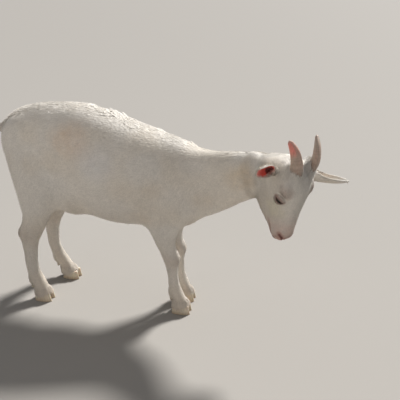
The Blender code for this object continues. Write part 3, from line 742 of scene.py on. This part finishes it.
def lie_of(points, ways, ear):
    """The way the coat lies, along the surface."""
    m, on = counted(points)
    x, _, z = m.T
    u, v, w = on.T
    flow = [(np.array(p) * (1, -s, 1), np.array(w) * (1, -s, 1)) for p, w in FLOW for s in SIDES.values()]
    way, weight = np.zeros_like(points), np.zeros(len(points))
    for place, along in (*flow, *NECK_FLOW):
        share = 1 / (((m - place) ** 2).sum(1) + 0.0009) ** 2
        way += unit(along) * share[:, None]
        weight += share
    way = unit(way / weight[:, None])
    leg = ramp(z, 0.37, 0.29)[:, None]
    way = way * (1 - leg) + np.array([-0.08, 0, -1]) * leg
    tail = ramp(-x, 0.5, 0.53)[:, None] * ramp(z, 0.56, 0.6)[:, None]
    way = way * (1 - tail) + np.array(TAIL_WAY) * tail
    # From the nose to the poll, and down over the cheeks
    face = np.stack([-np.ones(len(on)), 0.3 * np.sign(v) * ramp(np.abs(v), 0, 0.03),
                     -0.75 * ramp(w, 0.015, -0.03) * ramp(u, 0.2, 0.12)], 1)
    for side in SIDES:
        off = on - eye_frame(side)[0]
        face = face + 0.7 * unit(off) * ramp(length(off), 0.03, 0.014)[:, None]
        mine = (ear * (v * SIDES[side] > 0))[:, None]
        face = face * (1 - mine) + ear_frame(side)[1] * mine
    head = np.maximum(head_share(on), ear)[:, None]
    way = way * (1 - head) + turned_off_head(face) * head
    way = unit(way - ways * (way * ways).sum(1)[:, None])
    swirl = np.radians(26) * (noise(points, 0.035, 5) - 0.5)
    swirl = swirl + np.radians(20) * (noise(points, 0.011, 6) - 0.5)
    swirl = swirl + np.radians(14) * random.standard_normal(len(points)) * 0.5
    return way * np.cos(swirl)[:, None] + np.cross(ways, way) * np.sin(swirl)[:, None]


def ridge_of(m):
    """1 along the spine, from the withers to the croup."""
    x, y, z = m.T
    line = np.abs(y + 0.11 * ramp(x, 0.04, 0.3))
    return ramp(line, 0.042, 0.008) * ramp(z, 0.56, 0.6) * ramp(x, 0.26, 0.1)


def hair_of(points, ways, ear):
    """Length, width and rise of the hair at these places."""
    m, on = counted(points)
    z = m[:, 2]
    u, _, w = on.T
    leg = ramp(z, 0.37, 0.25)
    long = 0.015 + 0.009 * ridge_of(m) + 0.003 * ramp(-ways[:, 2], 0.3, 0.9)
    long = long * (1 - leg) + 0.0095 * leg
    long = long + (0.0065 - long) * ramp(z, 0.2, 0.07)
    wide = 0.0025 - 0.0009 * leg
    head = head_share(on)
    face = 0.0048 + 0.0045 * ramp(u, 0.2, 0.1) + 0.005 * ramp(u, 0.055, 0.0)
    face += 0.003 * ramp(w, -0.045, -0.07)
    thin = 0.0009 + 0.0003 * ramp(u, 0.19, 0.06) + 0.0004 * ramp(u, 0.04, 0.0)
    for side in SIDES:
        near = ramp(eye_distance(on, side), 0.03, 0.016)
        face = face * (1 - 0.45 * near)
        thin = thin * (1 - 0.25 * near)
    long, wide = long * (1 - head) + face * head, wide * (1 - head) + thin * head
    long, wide = long + (0.0065 - long) * ear, wide + (0.0013 - wide) * ear
    rise = (0.12 * long).clip(0.0008, coat_depth(points) * 0.6) + 0.001 * ridge_of(m)
    rise = rise * (1 - ear) + 0.0008 * ear
    poll = ramp(u, 0.045, 0.015) * ramp(w, -0.02, 0.02) * head
    return long, wide, rise + 0.001 * poll


def sampled(mesh, density, marks):
    """Places spread over the mesh by a density for each point: places, normals, map places and marks."""
    mesh.calc_loop_triangles()
    corners, loops = (numbers(mesh.loop_triangles, name, 3) for name in ("vertices", "loops"))
    points, ways = places(mesh), normals(mesh)
    flat = numbers(mesh.uv_layers[0].uv, "vector", 2, np.float32).astype(float)
    a, b, c = (points[corners[:, k]] for k in range(3))
    area = length(np.cross(b - a, c - a)) / 2
    want = np.cumsum(area * density[corners].mean(1))
    total = int(want[-1])
    at = (np.arange(total) + random.random(total)) / total * want[-1]
    face = np.searchsorted(want, at).clip(0, len(corners) - 1)
    u, v = random.random(total), random.random(total)
    over = u + v > 1
    u, v = np.where(over, 1 - u, u), np.where(over, 1 - v, v)
    share = np.stack([1 - u - v, u, v], 1)[..., None]
    pick = corners[face]
    found = [(of[at_corner] * share).sum(1) for of, at_corner in (
        (points, pick), (ways, pick), (flat, loops[face]), (marks, pick))]
    return found[0], unit(found[1]), *found[2:]


PATCH = 0.0015  # half the size of a tuft's patch on the map
UNDERSIDE = 1.45  # how far the normals under a tuft are bent down
ROOTED = 0.0006  # how deep a tuft starts in the skin


def tufts(root, normal, way, flat, long, wide, rise, colour, segments=0, sag=0.0):
    """Tapering solid tufts: points, triangles, the normals of their corners, map places and colours.

    A plain tuft is four triangles: it starts in the skin, is widest a third of the way and ends in a point.
    With segments it is a curved lock of three-sided rings. The undersides' normals look outwards and down.
    """
    across = np.cross(normal, way)
    wide, long, rise = wide[:, None], long[:, None], rise[:, None]
    corners = []  # for each point of a tuft its place, its normal, its place on the map and its colour

    def corner(place, lean, on_map, tone):
        corners.append((place, unit(normal + lean), flat + np.array(on_map) * PATCH, tone))

    # Each tuft is painted a little darker towards its root and lighter at its tip: painted shade deep in the
    # coat
    for k in range(segments + 1):
        s = k / (segments + 1)
        height = rise * (s * (1.7 - 0.7 * s)) - sag * long * s * s - ROOTED * (1 - s)
        spine = root + way * long * s + normal * height
        if segments == 0:
            middle = root + way * long * 0.36 + normal * (rise * 0.5 + 0.12 * wide)
            corner(spine, -0.1 * way, (0, -1), colour * 0.95)
            corner(middle + across * wide / 2, 0.35 * across, (1, -0.3), colour)
            corner(middle - across * wide / 2, -0.35 * across, (-1, -0.3), colour)
        else:
            thick = wide * np.sin(np.pi * (0.13 + 0.87 * s) ** 0.75) ** 0.8
            tone, low = colour * (0.94 + 0.06 * s), 2 * s - 1
            corner(spine + across * thick / 2, 0.4 * across, (1, low), tone)
            corner(spine - across * thick / 2, -0.4 * across, (-1, low), tone)
            corner(spine + normal * 0.34 * thick, 0.1 * way, (0, low - 0.2), tone)
    corner(root + way * long + normal * (rise - sag * long), 0.15 * way, (0, 1), (colour * 1.03).clip(0, 0.9))
    points, ways, flats, colours = zip(*corners)
    each, last = len(points), 3 * segments
    if segments == 0:
        faces, below = [(0, 2, 1), (1, 2, 3), (0, 1, 3), (0, 3, 2)], [0, 0, 1, 1]
    else:
        faces, below = [(0, 1, 2)], [1]
        for a in range(0, last, 3):
            for i, j in ((0, 2), (2, 1), (1, 0)):
                faces += [(a + i, a + j, a + 3 + j), (a + i, a + 3 + j, a + 3 + i)]
                below += [i == 1] * 2
        faces += [(last, last + 2, each - 1), (last + 2, last + 1, each - 1), (last + 1, last, each - 1)]
        below += [0, 0, 1]
    faces = np.array(faces)
    corners = np.stack(ways, 1)[:, faces] - UNDERSIDE * np.array(below)[:, None, None] * normal[:, None, None]
    packed = [np.stack(group, 1).reshape(len(root) * each, -1) for group in (points, flats, colours)]
    faces = (faces[None] + (np.arange(len(root)) * each)[:, None, None]).reshape(-1, 3)
    return packed[0], faces, unit(corners).reshape(-1, 3), *packed[1:]


def coat_piece(name, batches, look):
    """One piece of coat from several batches of tufts."""
    starts = np.cumsum([0] + [len(batch[0]) for batch in batches])
    points, ways, flats, colours = (np.concatenate([batch[k] for batch in batches]) for k in (0, 2, 3, 4))
    faces = np.concatenate([batch[1] + start for batch, start in zip(batches, starts)])
    mesh = mesh_of(name, points, faces)
    layer = mesh.uv_layers.new(name="OFBake")
    layer.uv.foreach_set("vector", flats[faces.ravel()].astype(np.float32).ravel())
    tint(mesh, colours)
    mesh.materials.append(look)
    mesh.shade_smooth()
    mesh.normals_split_custom_set(ways.astype(np.float32))
    coat = thing(name, mesh)
    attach(coat, "root")


def bare(points, hollow):
    """Where no hair grows: eyes, nostrils, nose pad, lips' edges, under horns and hooves, in the ears."""
    m, on = counted(points)
    z = m[:, 2]
    u, _, w = on.T
    head = head_share(on)
    none = [hollow, ramp(u, 0.212, 0.217) * bump(w, -0.007, 0.022) * 1.6 * head]
    none.append(bump(off_mouth(on), 0, 0.003) * (u > MOUTH_CORNER) * head)
    for side in SIDES:
        for line, reach in ((NOSTRIL, 0.0044), (HORN_LINES[side], 0.0125)):
            none.append((line_distance(on, sided(line, side))[0] < reach) * head)
        g, t, b, top, bottom = by_eye(on, side)
        within = (b < top + 0.0008) & (b > bottom - 0.0008) & (np.abs(t) < SLIT_HALF + 0.001) & (g > 0)
        none.append(within & (np.hypot(t, b) < 0.02))
        for end in ENDS:
            low, high = box_of(pair_of("claw", end, side))
            none.append((points > low + 0.002).all(1) & (points < high - (0, 0, 0.006)).all(1) & (z < 0.03))
    return np.max(none, 0) > 0.5


def long_hair(mesh):
    """Kinds of longer locks: name, density, length, width, rise, segments, sag and own way of each."""
    points, ways = places(mesh), normals(mesh)
    m, on = counted(points)
    _, y, z = m.T
    u, v, w = on.T
    head = head_share(on)
    body = (1 - head) * ~points_on(mesh, 1, 2)
    low, high = box_of(["tail"])
    tail = ramp(points[:, 0], high[0] - 0.012, high[0] - 0.03) * ramp(np.abs(y), 0.034, 0.026)
    tail = tail * (points[:, 2] > low[2] - 0.004)
    rim = by_rims(mesh, (40, 0.015, 0.09), (6, 0.14, 0.4)) * np.where(v > 0, 1, 0.6)
    foot = ramp(z, 0.03, 0.036) * ramp(z, 0.052, 0.044)
    spur = bump(z, 0.078, 0.018) * ramp(-ways[:, 0], 0.1, 0.6)
    belly = ramp(-ways[:, 2], 0.35, 0.85) * ramp(z, 0.3, 0.34) * body
    poll = ramp(u, 0.052, 0.02) * ramp(w, 0.005, 0.03) * ramp(np.abs(v), 0.045, 0.02) * head
    jaw = ramp(-ways @ HEAD_FROM[:3, 2], 0.5, 0.9) * ramp(u, 0.02, 0.05) * ramp(u, 0.19, 0.15) * head
    clump = ramp(noise(m * (1, 0.2, 0.2), 0.032, 12), 0.4, 0.75)
    ridge = 3e4 * ridge_of(m) * (0.35 + clump) * body
    kinds = [
        ("ridge", ridge, 0.024, 0.0034, 0.0036 + 0.005 * clump, 2, 0.05, None),
        ("belly", 2e4 * belly, 0.02, 0.0032, 0.0028, 2, 0.0, None),
        ("poll", 19e4 * poll, 0.0175, 0.002, 0.0056, 2, 0.03, None),
        ("jaw", 6e4 * jaw, 0.013, 0.002, 0.0022, 2, 0.0, None),
        ("foot", 60e4 * foot, 0.0165, 0.0022, 0.0048, 2, 0.1, (0.12, 0, -1)),
        ("spur", 22e4 * spur, 0.015, 0.0026, 0.0046, 2, 0.12, (-0.25, 0, -1)),
        ("tail", 30e4 * tail * body, 0.034, 0.0034, 0.004, 3, 0.04, TAIL_WAY),
        ("rim", 80e4 * rim, 0.0075, 0.0012, 0.0006, 2, 0.0, None),
    ]
    for side in SIDES:
        line = sided(HORN_LINES[side][:2], side)
        off = line_distance(on, line)[0]
        near = ramp(off, 0.0255, 0.0205) * ramp(off, 0.012, 0.014) * head
        up = tuple(turned_off_head(unit(line[1] - line[0])))
        kinds.append(("horn", 48e4 * near, 0.025, 0.0019, 0.0016, 2, 0.0, up))
    return kinds


# Share of a kind's own way that is laid flat on the skin, of the coat's way mixed in, and of a lean outwards
FLATTENED, FOLLOWING, LEANING = {"horn": 0.15, "tail": 0.55}, {"horn": 0.1}, {"foot": 0.3}


def made_coat(skin, look):
    mesh = skin.data
    ear, hollow = points_on(mesh, 1, 2).astype(float), in_hollow(mesh)
    points = places(mesh)
    on = on_head(points)
    density = BODY_DENSITY + (LEG_DENSITY - BODY_DENSITY) * ramp(points[:, 2], 0.36, 0.24)
    density = density + (FACE_DENSITY - density) * head_share(on) * (0.55 + 0.45 * ramp(on[:, 0], 0.03, 0.12))
    density = density + (EAR_DENSITY - density) * ear
    density = density * (1 - bare(points, hollow))
    grown = {}
    for kind in [("short", density, None, None, None, 0, 0.0, None), *long_hair(mesh)]:
        name, density, long, wide, rise, segments, sag, own = kind
        tall = np.asarray(rise if rise is not None else 0.0) * np.ones(len(points))
        places_and_marks = sampled(mesh, density * LOOK_SHARE, np.stack([ear, hollow, tall], 1))
        root, normal, flat, marks = places_and_marks
        if name != "rim":
            kept = ~bare(root, (marks[:, 1] > 0.35).astype(float))
            root, normal, flat, marks = (v[kept] for v in places_and_marks)
        way = lie_of(root, normal, marks[:, 0].clip(0, 1))
        if own is not None:
            aim = unit(own)
            aim = aim - normal * (normal @ aim)[:, None] * FLATTENED.get(name, 1.0)
            way = unit(unit(aim) + FOLLOWING.get(name, 0.35) * way + LEANING.get(name, 0.0) * normal)
        usual = hair_of(root, normal, marks[:, 0])
        luck = random.random((len(root), 4))
        long = (usual[0] if long is None else long) * (0.72 + 0.56 * luck[:, 0])
        wide = (usual[1] if wide is None else wide) * (0.75 + 0.5 * luck[:, 1])
        rise = (usual[2] if rise is None else marks[:, 2]) * (0.6 + 0.6 * luck[:, 2])
        tone = 1 + 0.1 * (noise(root, 0.009, 9) - 0.5) + 0.1 * (luck[:, 3] - 0.5)
        colour = (marked(root, normal, np.zeros(len(root))) * tone[:, None]).clip(0, 0.88)
        m, on = counted(root)
        x, y, z = m.T
        on_it = head_share(on) > 0.5
        left = y > -0.11 * ramp(x, 0.04, 0.3)
        region = np.select(
            [(marks[:, 0] > 0.5) | (name == "rim"), on_it & (on[:, 0] > 0.11), on_it, z < 0.31,
             x < -0.36, x > 0.02],
            ["ears", "muzzle", "brow", np.where(x > -0.25, "forelegs", "hindlegs"),
             np.where(left, "hip_left", "hip_right"), "neck"],
            np.where(left, "side_left", "side_right"))
        for place in np.unique(region):
            batch = [v[region == place] for v in (root, normal, way, flat, long, wide, rise, colour)]
            grown.setdefault(place, []).append(tufts(*batch, segments=segments, sag=sag))
    for place, batches in grown.items():
        coat_piece(f"coat_{place}", batches, look)


# Materials


def material(name, roughness, **sockets):
    """A new Principled material and its shader."""
    made = bpy.data.materials.new(name)
    made.use_nodes = True
    shader = made.node_tree.nodes["Principled BSDF"]
    for socket, value in {"Roughness": roughness, **sockets}.items():
        shader.inputs[socket.replace("_", " ")].default_value = value
    return made, shader


def surface(name, roughness, scale=None, tones=None, detail=4, stretch=None, relief=None, **sockets):
    """A material with the tint's colour, made darker and lighter between two tones by noise of this scale.

    Relief is the scale of its own noise, or None to follow the colour's, a strength and a distance.
    """
    made, shader = material(name, roughness, **sockets)
    link = made.node_tree.links.new

    def node(kind, **values):
        """A node with these settings. Names with a capital are sockets, which take values or outputs."""
        n = made.node_tree.nodes.new(kind)
        for key, value in values.items():
            if not key[0].isupper():
                setattr(n, key, value)
            elif isinstance(value, bpy.types.NodeSocket):
                link(value, n.inputs[key.replace("_", " ")])
            else:
                n.inputs[key.replace("_", " ")].default_value = value
        return n

    def noise_of(scale, detail, stretch=None):
        vector = node("ShaderNodeTexCoord").outputs["Object"]
        if stretch is not None:
            vector = node("ShaderNodeMapping", Scale=stretch, Vector=vector).outputs["Vector"]
        settings = dict(Scale=scale, Detail=detail, Roughness=0.6, Vector=vector)
        return node("ShaderNodeTexNoise", **settings).outputs["Fac"]

    colour = node("ShaderNodeAttribute", attribute_name="tint").outputs["Color"]
    if tones is not None:
        grain = noise_of(scale, detail, stretch)
        limits = dict(From_Min=0.3, From_Max=0.7, To_Min=tones[0], To_Max=tones[1])
        tone = node("ShaderNodeMapRange", Value=grain, **limits).outputs["Result"]
        times = node("ShaderNodeMix", data_type="RGBA", blend_type="MULTIPLY")
        times.inputs[0].default_value = 1.0
        link(colour, times.inputs[6])
        link(tone, times.inputs[7])
        colour = times.outputs[2]
    link(colour, shader.inputs["Base Color"])
    if relief is not None:
        own, strength, distance = relief
        height = grain if own is None else noise_of(own, 4)
        raised = node("ShaderNodeBump", Strength=strength, Distance=distance, Height=height)
        link(raised.outputs["Normal"], shader.inputs["Normal"])
    return made


def keratin(name, roughness, scale):
    """Horn or hoof: its own tint with fine streaks along it."""
    fine = dict(stretch=(1.0, 1.0, 0.25), relief=(None, 0.4, 0.0006))
    glow = dict(Subsurface_Weight=0.12, Subsurface_Scale=0.004)
    return surface(name, roughness, scale, (0.82, 1.12), **fine, **glow)


# Horns, hooves and eyes

HORN_LINES = {
    "right": ((0.036, 0.025, 0.0485), (0.004, 0.0385, 0.065), (-0.03, 0.047, 0.0655), (-0.058, 0.054, 0.054)),
    "left": ((0.036, 0.0275, 0.048), (0.004, 0.0315, 0.065), (-0.03, 0.0375, 0.0645), (-0.058, 0.046, 0.054)),
}
HORN_RADII, HORN_TWIST = (0.0164, 0.0117), 40.0
HORN_TAPER = ((0.0, 0.25, 0.5, 0.75, 0.9, 0.97, 1.0), (1.0, 0.96, 0.87, 0.68, 0.47, 0.31, 0.1))
HORN_RINGS, HORN_SIDES = 150, 36
HORN_ROOTED = 0.05  # share of its length that a horn is set deeper into the head
HORN_BASE, HORN_MIDDLE = (0.25, 0.185, 0.15), (0.47, 0.355, 0.285)
# The right tip's salmon red is a painted glow of light shining through the horn; the left tip's tan is the
# horn's own colour
HORN_TIPS_AND_GLOW = {"right": (0.8, 0.27, 0.215), "left": (0.46, 0.37, 0.31)}
LIT_SIDE = (0, -0.77, -0.63)  # the lit side of the right horn, where the painted glow near its tip shows


def horn_piece(side, look):
    """A horn with growth rings, darker at its root and clearer at its tip, where the right one has a painted
    red glow of light through it on its lit side.
    """
    line = sided(HORN_LINES[side], side)
    steps = length(np.diff(line, axis=0))
    keys = np.concatenate([[0], np.cumsum(steps)]) / steps.sum()
    at = np.linspace(0, 1, HORN_RINGS)
    centres = spline(keys, line, at)
    ways = unit(np.gradient(centres, axis=0))
    below = -np.linspace(HORN_ROOTED, 0, 8)[:-1]
    centres = np.concatenate([centres[0] + ways[0] * below[:, None] * steps.sum(), centres])
    ways = np.concatenate([np.repeat(ways[:1], len(below), 0), ways])
    at = np.concatenate([below, at])
    twist = np.radians(HORN_TWIST)
    broad = sided([0, -np.sin(twist), np.cos(twist)], side)
    wide = unit(broad - ways * (ways @ broad)[:, None])
    thin = np.cross(ways, wide)
    wave = at * 15 + 0.9 * np.sin(at * 9)
    ridge = 0.034 * (np.abs(np.sin(np.pi * wave)) ** 0.6 - 0.72) * ramp(at, 0.8, 0.45)
    ridge = ridge + 0.006 * np.sin(at * 210)
    angle = circle(HORN_SIDES)
    keel = 1 + 0.05 * np.cos(3 * angle + 0.6)
    reach = (curve(at.clip(0, 1), HORN_TAPER) * (1 + ridge))[:, None] * keel
    rings = centres[:, None] + wide[:, None] * (reach * np.cos(angle) * HORN_RADII[0])[..., None]
    rings = rings + thin[:, None] * (reach * np.sin(angle) * HORN_RADII[1])[..., None]
    points, faces = closed_tube(rings)
    share = np.concatenate([np.repeat(at, HORN_SIDES), [0, 1]])
    high = ramp(share, 0.55, 0.78) * (1 - 0.6 * ramp(share, 0.9, 0.99))
    # On the right horn the painted glow is strongest on its lit side
    if side == "right":
        lit = unit(points[:-2] - np.repeat(centres, HORN_SIDES, 0)) @ unit(LIT_SIDE)
        high = high * np.append(0.25 + 0.75 * ramp(lit, -0.75, 0.25), (0, 1))
    colour = mix(mix(HORN_BASE, HORN_MIDDLE, ramp(share, 0.05, 0.45)), HORN_TIPS_AND_GLOW[side], high)
    # Darker in the grooves between the rings and a little lighter on their crests: painted shade and painted
    # highlight
    groove = np.concatenate([np.repeat(ridge, HORN_SIDES), [0, 0]])
    colour = colour * (1 + 5 * groove.clip(-0.03, 0.01))[:, None]
    piece(f"horn_{side}_fine", off_head(points), outward(points, faces), colour, look, "horn", f"horn_{side}")


HOOF_SIDES, SPUR_SIDES = 48, 18
HOOF_TOP, HOOF_SOLE = (0.74, 0.64, 0.5), (0.58, 0.46, 0.32)
HOOF_LEVELS = (0.0, 0.0, 0.02, 0.06, 0.14, 0.26, 0.38, 0.5, 0.62, 0.74, 0.86, 0.96, 1.0, 1.0)
HOOF_INSETS = (0.62, 0.93, *[1.0] * 10, 0.93, 0.55)


def claw_form(low, high, centre, half, away):
    """A claw: upright at the cleft, rounded outside, with growth rings and a flat sole."""
    top_back, top_front = high.z * 0.6, high.z * 0.985
    angle = circle(HOOF_SIDES)
    u, v = (np.sign(w) * np.abs(w) ** 0.77 for w in (np.cos(angle), np.sin(angle)))
    v = v * (1 - 0.34 * u.clip(0) ** 2)
    rings = []
    for level, inset in zip(HOOF_LEVELS, HOOF_INSETS):
        wide = (1.0 - 0.085 * level + 0.01 * np.sin(level * 26) * (0.1 < level < 0.95)) * inset * 0.992
        x = centre.x + half.x * (u * wide - 0.09 * level * u.clip(0))
        y = centre.y + half.y * (v * away * wide)
        rise = top_back + (top_front - top_back) * ((x - low.x) / (high.x - low.x))
        rings.append(np.stack([x, y, rise * level], 1))
    tone = ramp(np.append(np.repeat(HOOF_LEVELS, HOOF_SIDES), (0, 1)), 0, 0.6)
    return rings, mix(HOOF_SOLE, HOOF_TOP, tone)


def dewclaw_form(low, high, centre, half, away):
    """A spur behind a fetlock: a blunt cone that points down and back."""
    angle = circle(SPUR_SIDES)
    rings = []
    for t in np.linspace(-0.98, 0.98, 12):
        wide = np.sqrt(1 - t * t) * (1 - 0.18 * t) * (1 + 0.03 * np.sin(20 * t))
        x = centre.x + half.x * (0.15 + 0.8 * wide * np.cos(angle)) - 0.0012 * t
        y = centre.y + half.y * 0.96 * wide * np.sin(angle)
        rings.append(np.stack([x, y, np.full(SPUR_SIDES, centre.z - half.z * 0.97 * t)], 1))
    return rings, np.tile(np.array(HOOF_TOP) * 0.72, (12 * SPUR_SIDES + 2, 1))


def foot_piece(name, nodes, form, look):
    """One piece for both claws or both dewclaws of a foot, each formed inside its node's box."""
    points, faces, colours, count = [], [], [], 0
    middle = middle_of(nodes)[1]
    for node in nodes:
        low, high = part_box(node)
        centre = (low + high) / 2
        rings, colour = form(low, high, centre, (high - low) / 2, np.sign(centre.y - middle))
        p, f = closed_tube(rings)
        points.append(p)
        faces.append(outward(p, f) + count)
        colours.append(colour)
        count += len(p)
    piece(name, *(np.concatenate(group) for group in (points, faces, colours)), look, "claw", *nodes)


IRIS, IRIS_RIM = (0.16, 0.075, 0.022), (0.05, 0.025, 0.012)
PUPIL, WHITE_OF_EYE = (0.006, 0.005, 0.005), (0.3, 0.2, 0.16)
RIM_STEPS, RIM_SIDES = 96, 10
UPPER_RIM, LOWER_RIM = 0.00105, 0.0008  # thickness of the lids' rims


def eye_piece(side, look):
    """An eyeball with a clear bulge over an iris with a level, oblong pupil."""
    centre, out, along, upper = eye_frame(side)
    angle = circle(72)[:, None]
    rings = []
    for p in np.linspace(0.0, np.pi, 60)[1:-1]:
        radius = EYE_RADIUS * (1 + 0.035 * ramp(p, 0.75, 0.15))
        ring = out * np.cos(p) + (along * np.cos(angle) + upper * np.sin(angle)) * np.sin(p)
        rings.append(centre + ring * radius * 0.985)
    points, faces = closed_tube(rings)
    q = unit(points - centre)
    t, b, g = q @ along, q @ upper, q @ out
    off = np.hypot(t, b) + (g < 0) * 2
    pupil = ramp(np.abs(t), 0.46, 0.42) * ramp(np.abs(b), 0.19, 0.15) * (g > 0)
    iris = mix(IRIS, IRIS_RIM, ramp(off, 0.5, 0.74))
    colour = mix(mix(WHITE_OF_EYE, iris, ramp(off, 0.78, 0.72)), PUPIL, pupil)
    piece(f"eyeball_{side}", off_head(points), outward(points, faces), colour, look, "eye", f"eye_{side}")


def lid_piece(side, look):
    """The bare dark rims of the lids round the eye's opening."""
    centre, out, along, upper = eye_frame(side)
    around = np.linspace(0, 2 * np.pi, RIM_STEPS + 1)[:-1]
    t = np.cos(around) * SLIT_HALF
    top, bottom = slit_edges(t * 0.999)
    b = np.where(np.sin(around) >= 0, top, bottom)
    g = np.sqrt((EYE_RADIUS + LID * 0.72) ** 2 - t**2 - b**2)
    line = centre + out * g[:, None] + along * t[:, None] + upper * b[:, None]
    from_ball = unit(line - centre)
    aside = np.cross(unit(np.roll(line, -1, 0) - np.roll(line, 1, 0)), from_ball)
    thick = np.where(np.sin(around) >= 0, UPPER_RIM, LOWER_RIM)[:, None]
    angle = circle(RIM_SIDES)[:, None]
    rings = line[:, None] + (from_ball * thick)[:, None] * np.cos(angle)
    points = (rings + (aside * thick)[:, None] * np.sin(angle)).reshape(-1, 3)
    i, j = (v.ravel() for v in np.meshgrid(np.arange(RIM_STEPS), np.arange(RIM_SIDES), indexing="ij"))
    on_i, on_j = (i + 1) % RIM_STEPS, (j + 1) % RIM_SIDES
    faces = np.concatenate([[(i, j), (i, on_j), (on_i, on_j)], [(i, j), (on_i, on_j), (on_i, j)]], 2)
    faces = outward(points, (faces[:, 0] * RIM_SIDES + faces[:, 1]).T)
    piece(f"lid_rims_{side}", off_head(points), faces, np.tile(LID_RIM, (len(points), 1)), look, "ear_skin")


# Making

skin = made_skin()
unwrapped(skin)
# White hair covers the rims of the ears' hollows, and most of the left one
red = in_hollow(skin.data) * by_rims(skin.data, (40, 0.09, 0.02), (6, 0.4, 0.14))
tint(skin.data, marked(places(skin.data), normals(skin.data), red))
made_coat(skin, surface("white_hair", 0.62, 260, (0.9, 1.08), 3, Sheen_Weight=0.3, Sheen_Roughness=0.4))
skin.data.uv_layers.remove(skin.data.uv_layers[0])
sheen = dict(Sheen_Weight=0.25, Sheen_Roughness=0.5)
skin_look = surface("goat_skin", 0.72, 90, (0.9, 1.06), relief=(700, 0.35, 0.0008), **sheen)
finished(skin, skin_look, "white_coat", *FLESH, "ear_right", "ear_left")
horn_look, hoof_look = keratin("horn_surface", 0.48, 260), keratin("hoof_surface", 0.55, 320)
eye_look = surface("eye_surface", 0.12, 900, (0.75, 1.25), Coat_Weight=0.4, Coat_Roughness=0.04)
rim_look = surface("lid_rim_surface", 0.35)
for side in SIDES:
    horn_piece(side, horn_look)
    eye_piece(side, eye_look)
    lid_piece(side, rim_look)
    for end in ENDS:
        foot_piece(f"hoof_{end}_{side}", pair_of("claw", end, side), claw_form, hoof_look)
        foot_piece(f"dewclaws_{end}_{side}", pair_of("dewclaw", end, side), dewclaw_form, hoof_look)

# Stage

FLOOR_HALF, FLOOR_COLOUR = 25.0, (0.36, 0.34, 0.315)
LOOKED_AT = (-0.1, 0.0, 0.45)  # where the lamps point


def lamp(name, kind, at, power, colour, **settings):
    data = bpy.data.lights.new(name, kind)
    for key, value in {"energy": power, "color": colour, **settings}.items():
        setattr(data, key, value)
    made = thing(name, data)
    made.location = ORIGIN + Vector(at)
    made.rotation_euler = (ORIGIN + Vector(LOOKED_AT) - made.location).to_track_quat("-Z", "Y").to_euler()


corners = [(x * FLOOR_HALF, y * FLOOR_HALF, 0) for x, y in ((-1, -1), (1, -1), (1, 1), (-1, 1))]
floor = thing("floor", mesh_of("floor", corners, [(0, 1, 2, 3)]))
floor.data.materials.append(material("floor_surface", 0.85, Base_Color=(*FLOOR_COLOUR, 1))[0])
lamp("key", "SUN", (1.0, 2.3, 3.3), 5.2, (1.0, 0.985, 0.96), angle=np.radians(10))
lamp("front", "AREA", (-1.3, -2.8, 1.5), 14, (1.0, 0.93, 0.85), shape="DISK", size=2.6)
lamp("top", "AREA", (0.2, -0.3, 3.4), 8, (1.0, 0.98, 0.96), shape="DISK", size=3.0)

scene = bpy.context.scene
scene.world = bpy.data.worlds.new("studio")
scene.world.use_nodes = True
background = scene.world.node_tree.nodes["Background"].inputs
background["Color"].default_value = (0.66, 0.68, 0.72, 1)
background["Strength"].default_value = 0.3
scene.view_settings.view_transform = "Standard"

lens = bpy.data.cameras.new("camera")
lens.sensor_width, lens.lens = 36.0, 50.4
scene.camera = thing("camera", lens)
scene.camera.rotation_euler = (np.radians(66), 0, np.radians(13.8))
scene.camera.location = ORIGIN + Vector((0.44088, -1.56567, 1.12))
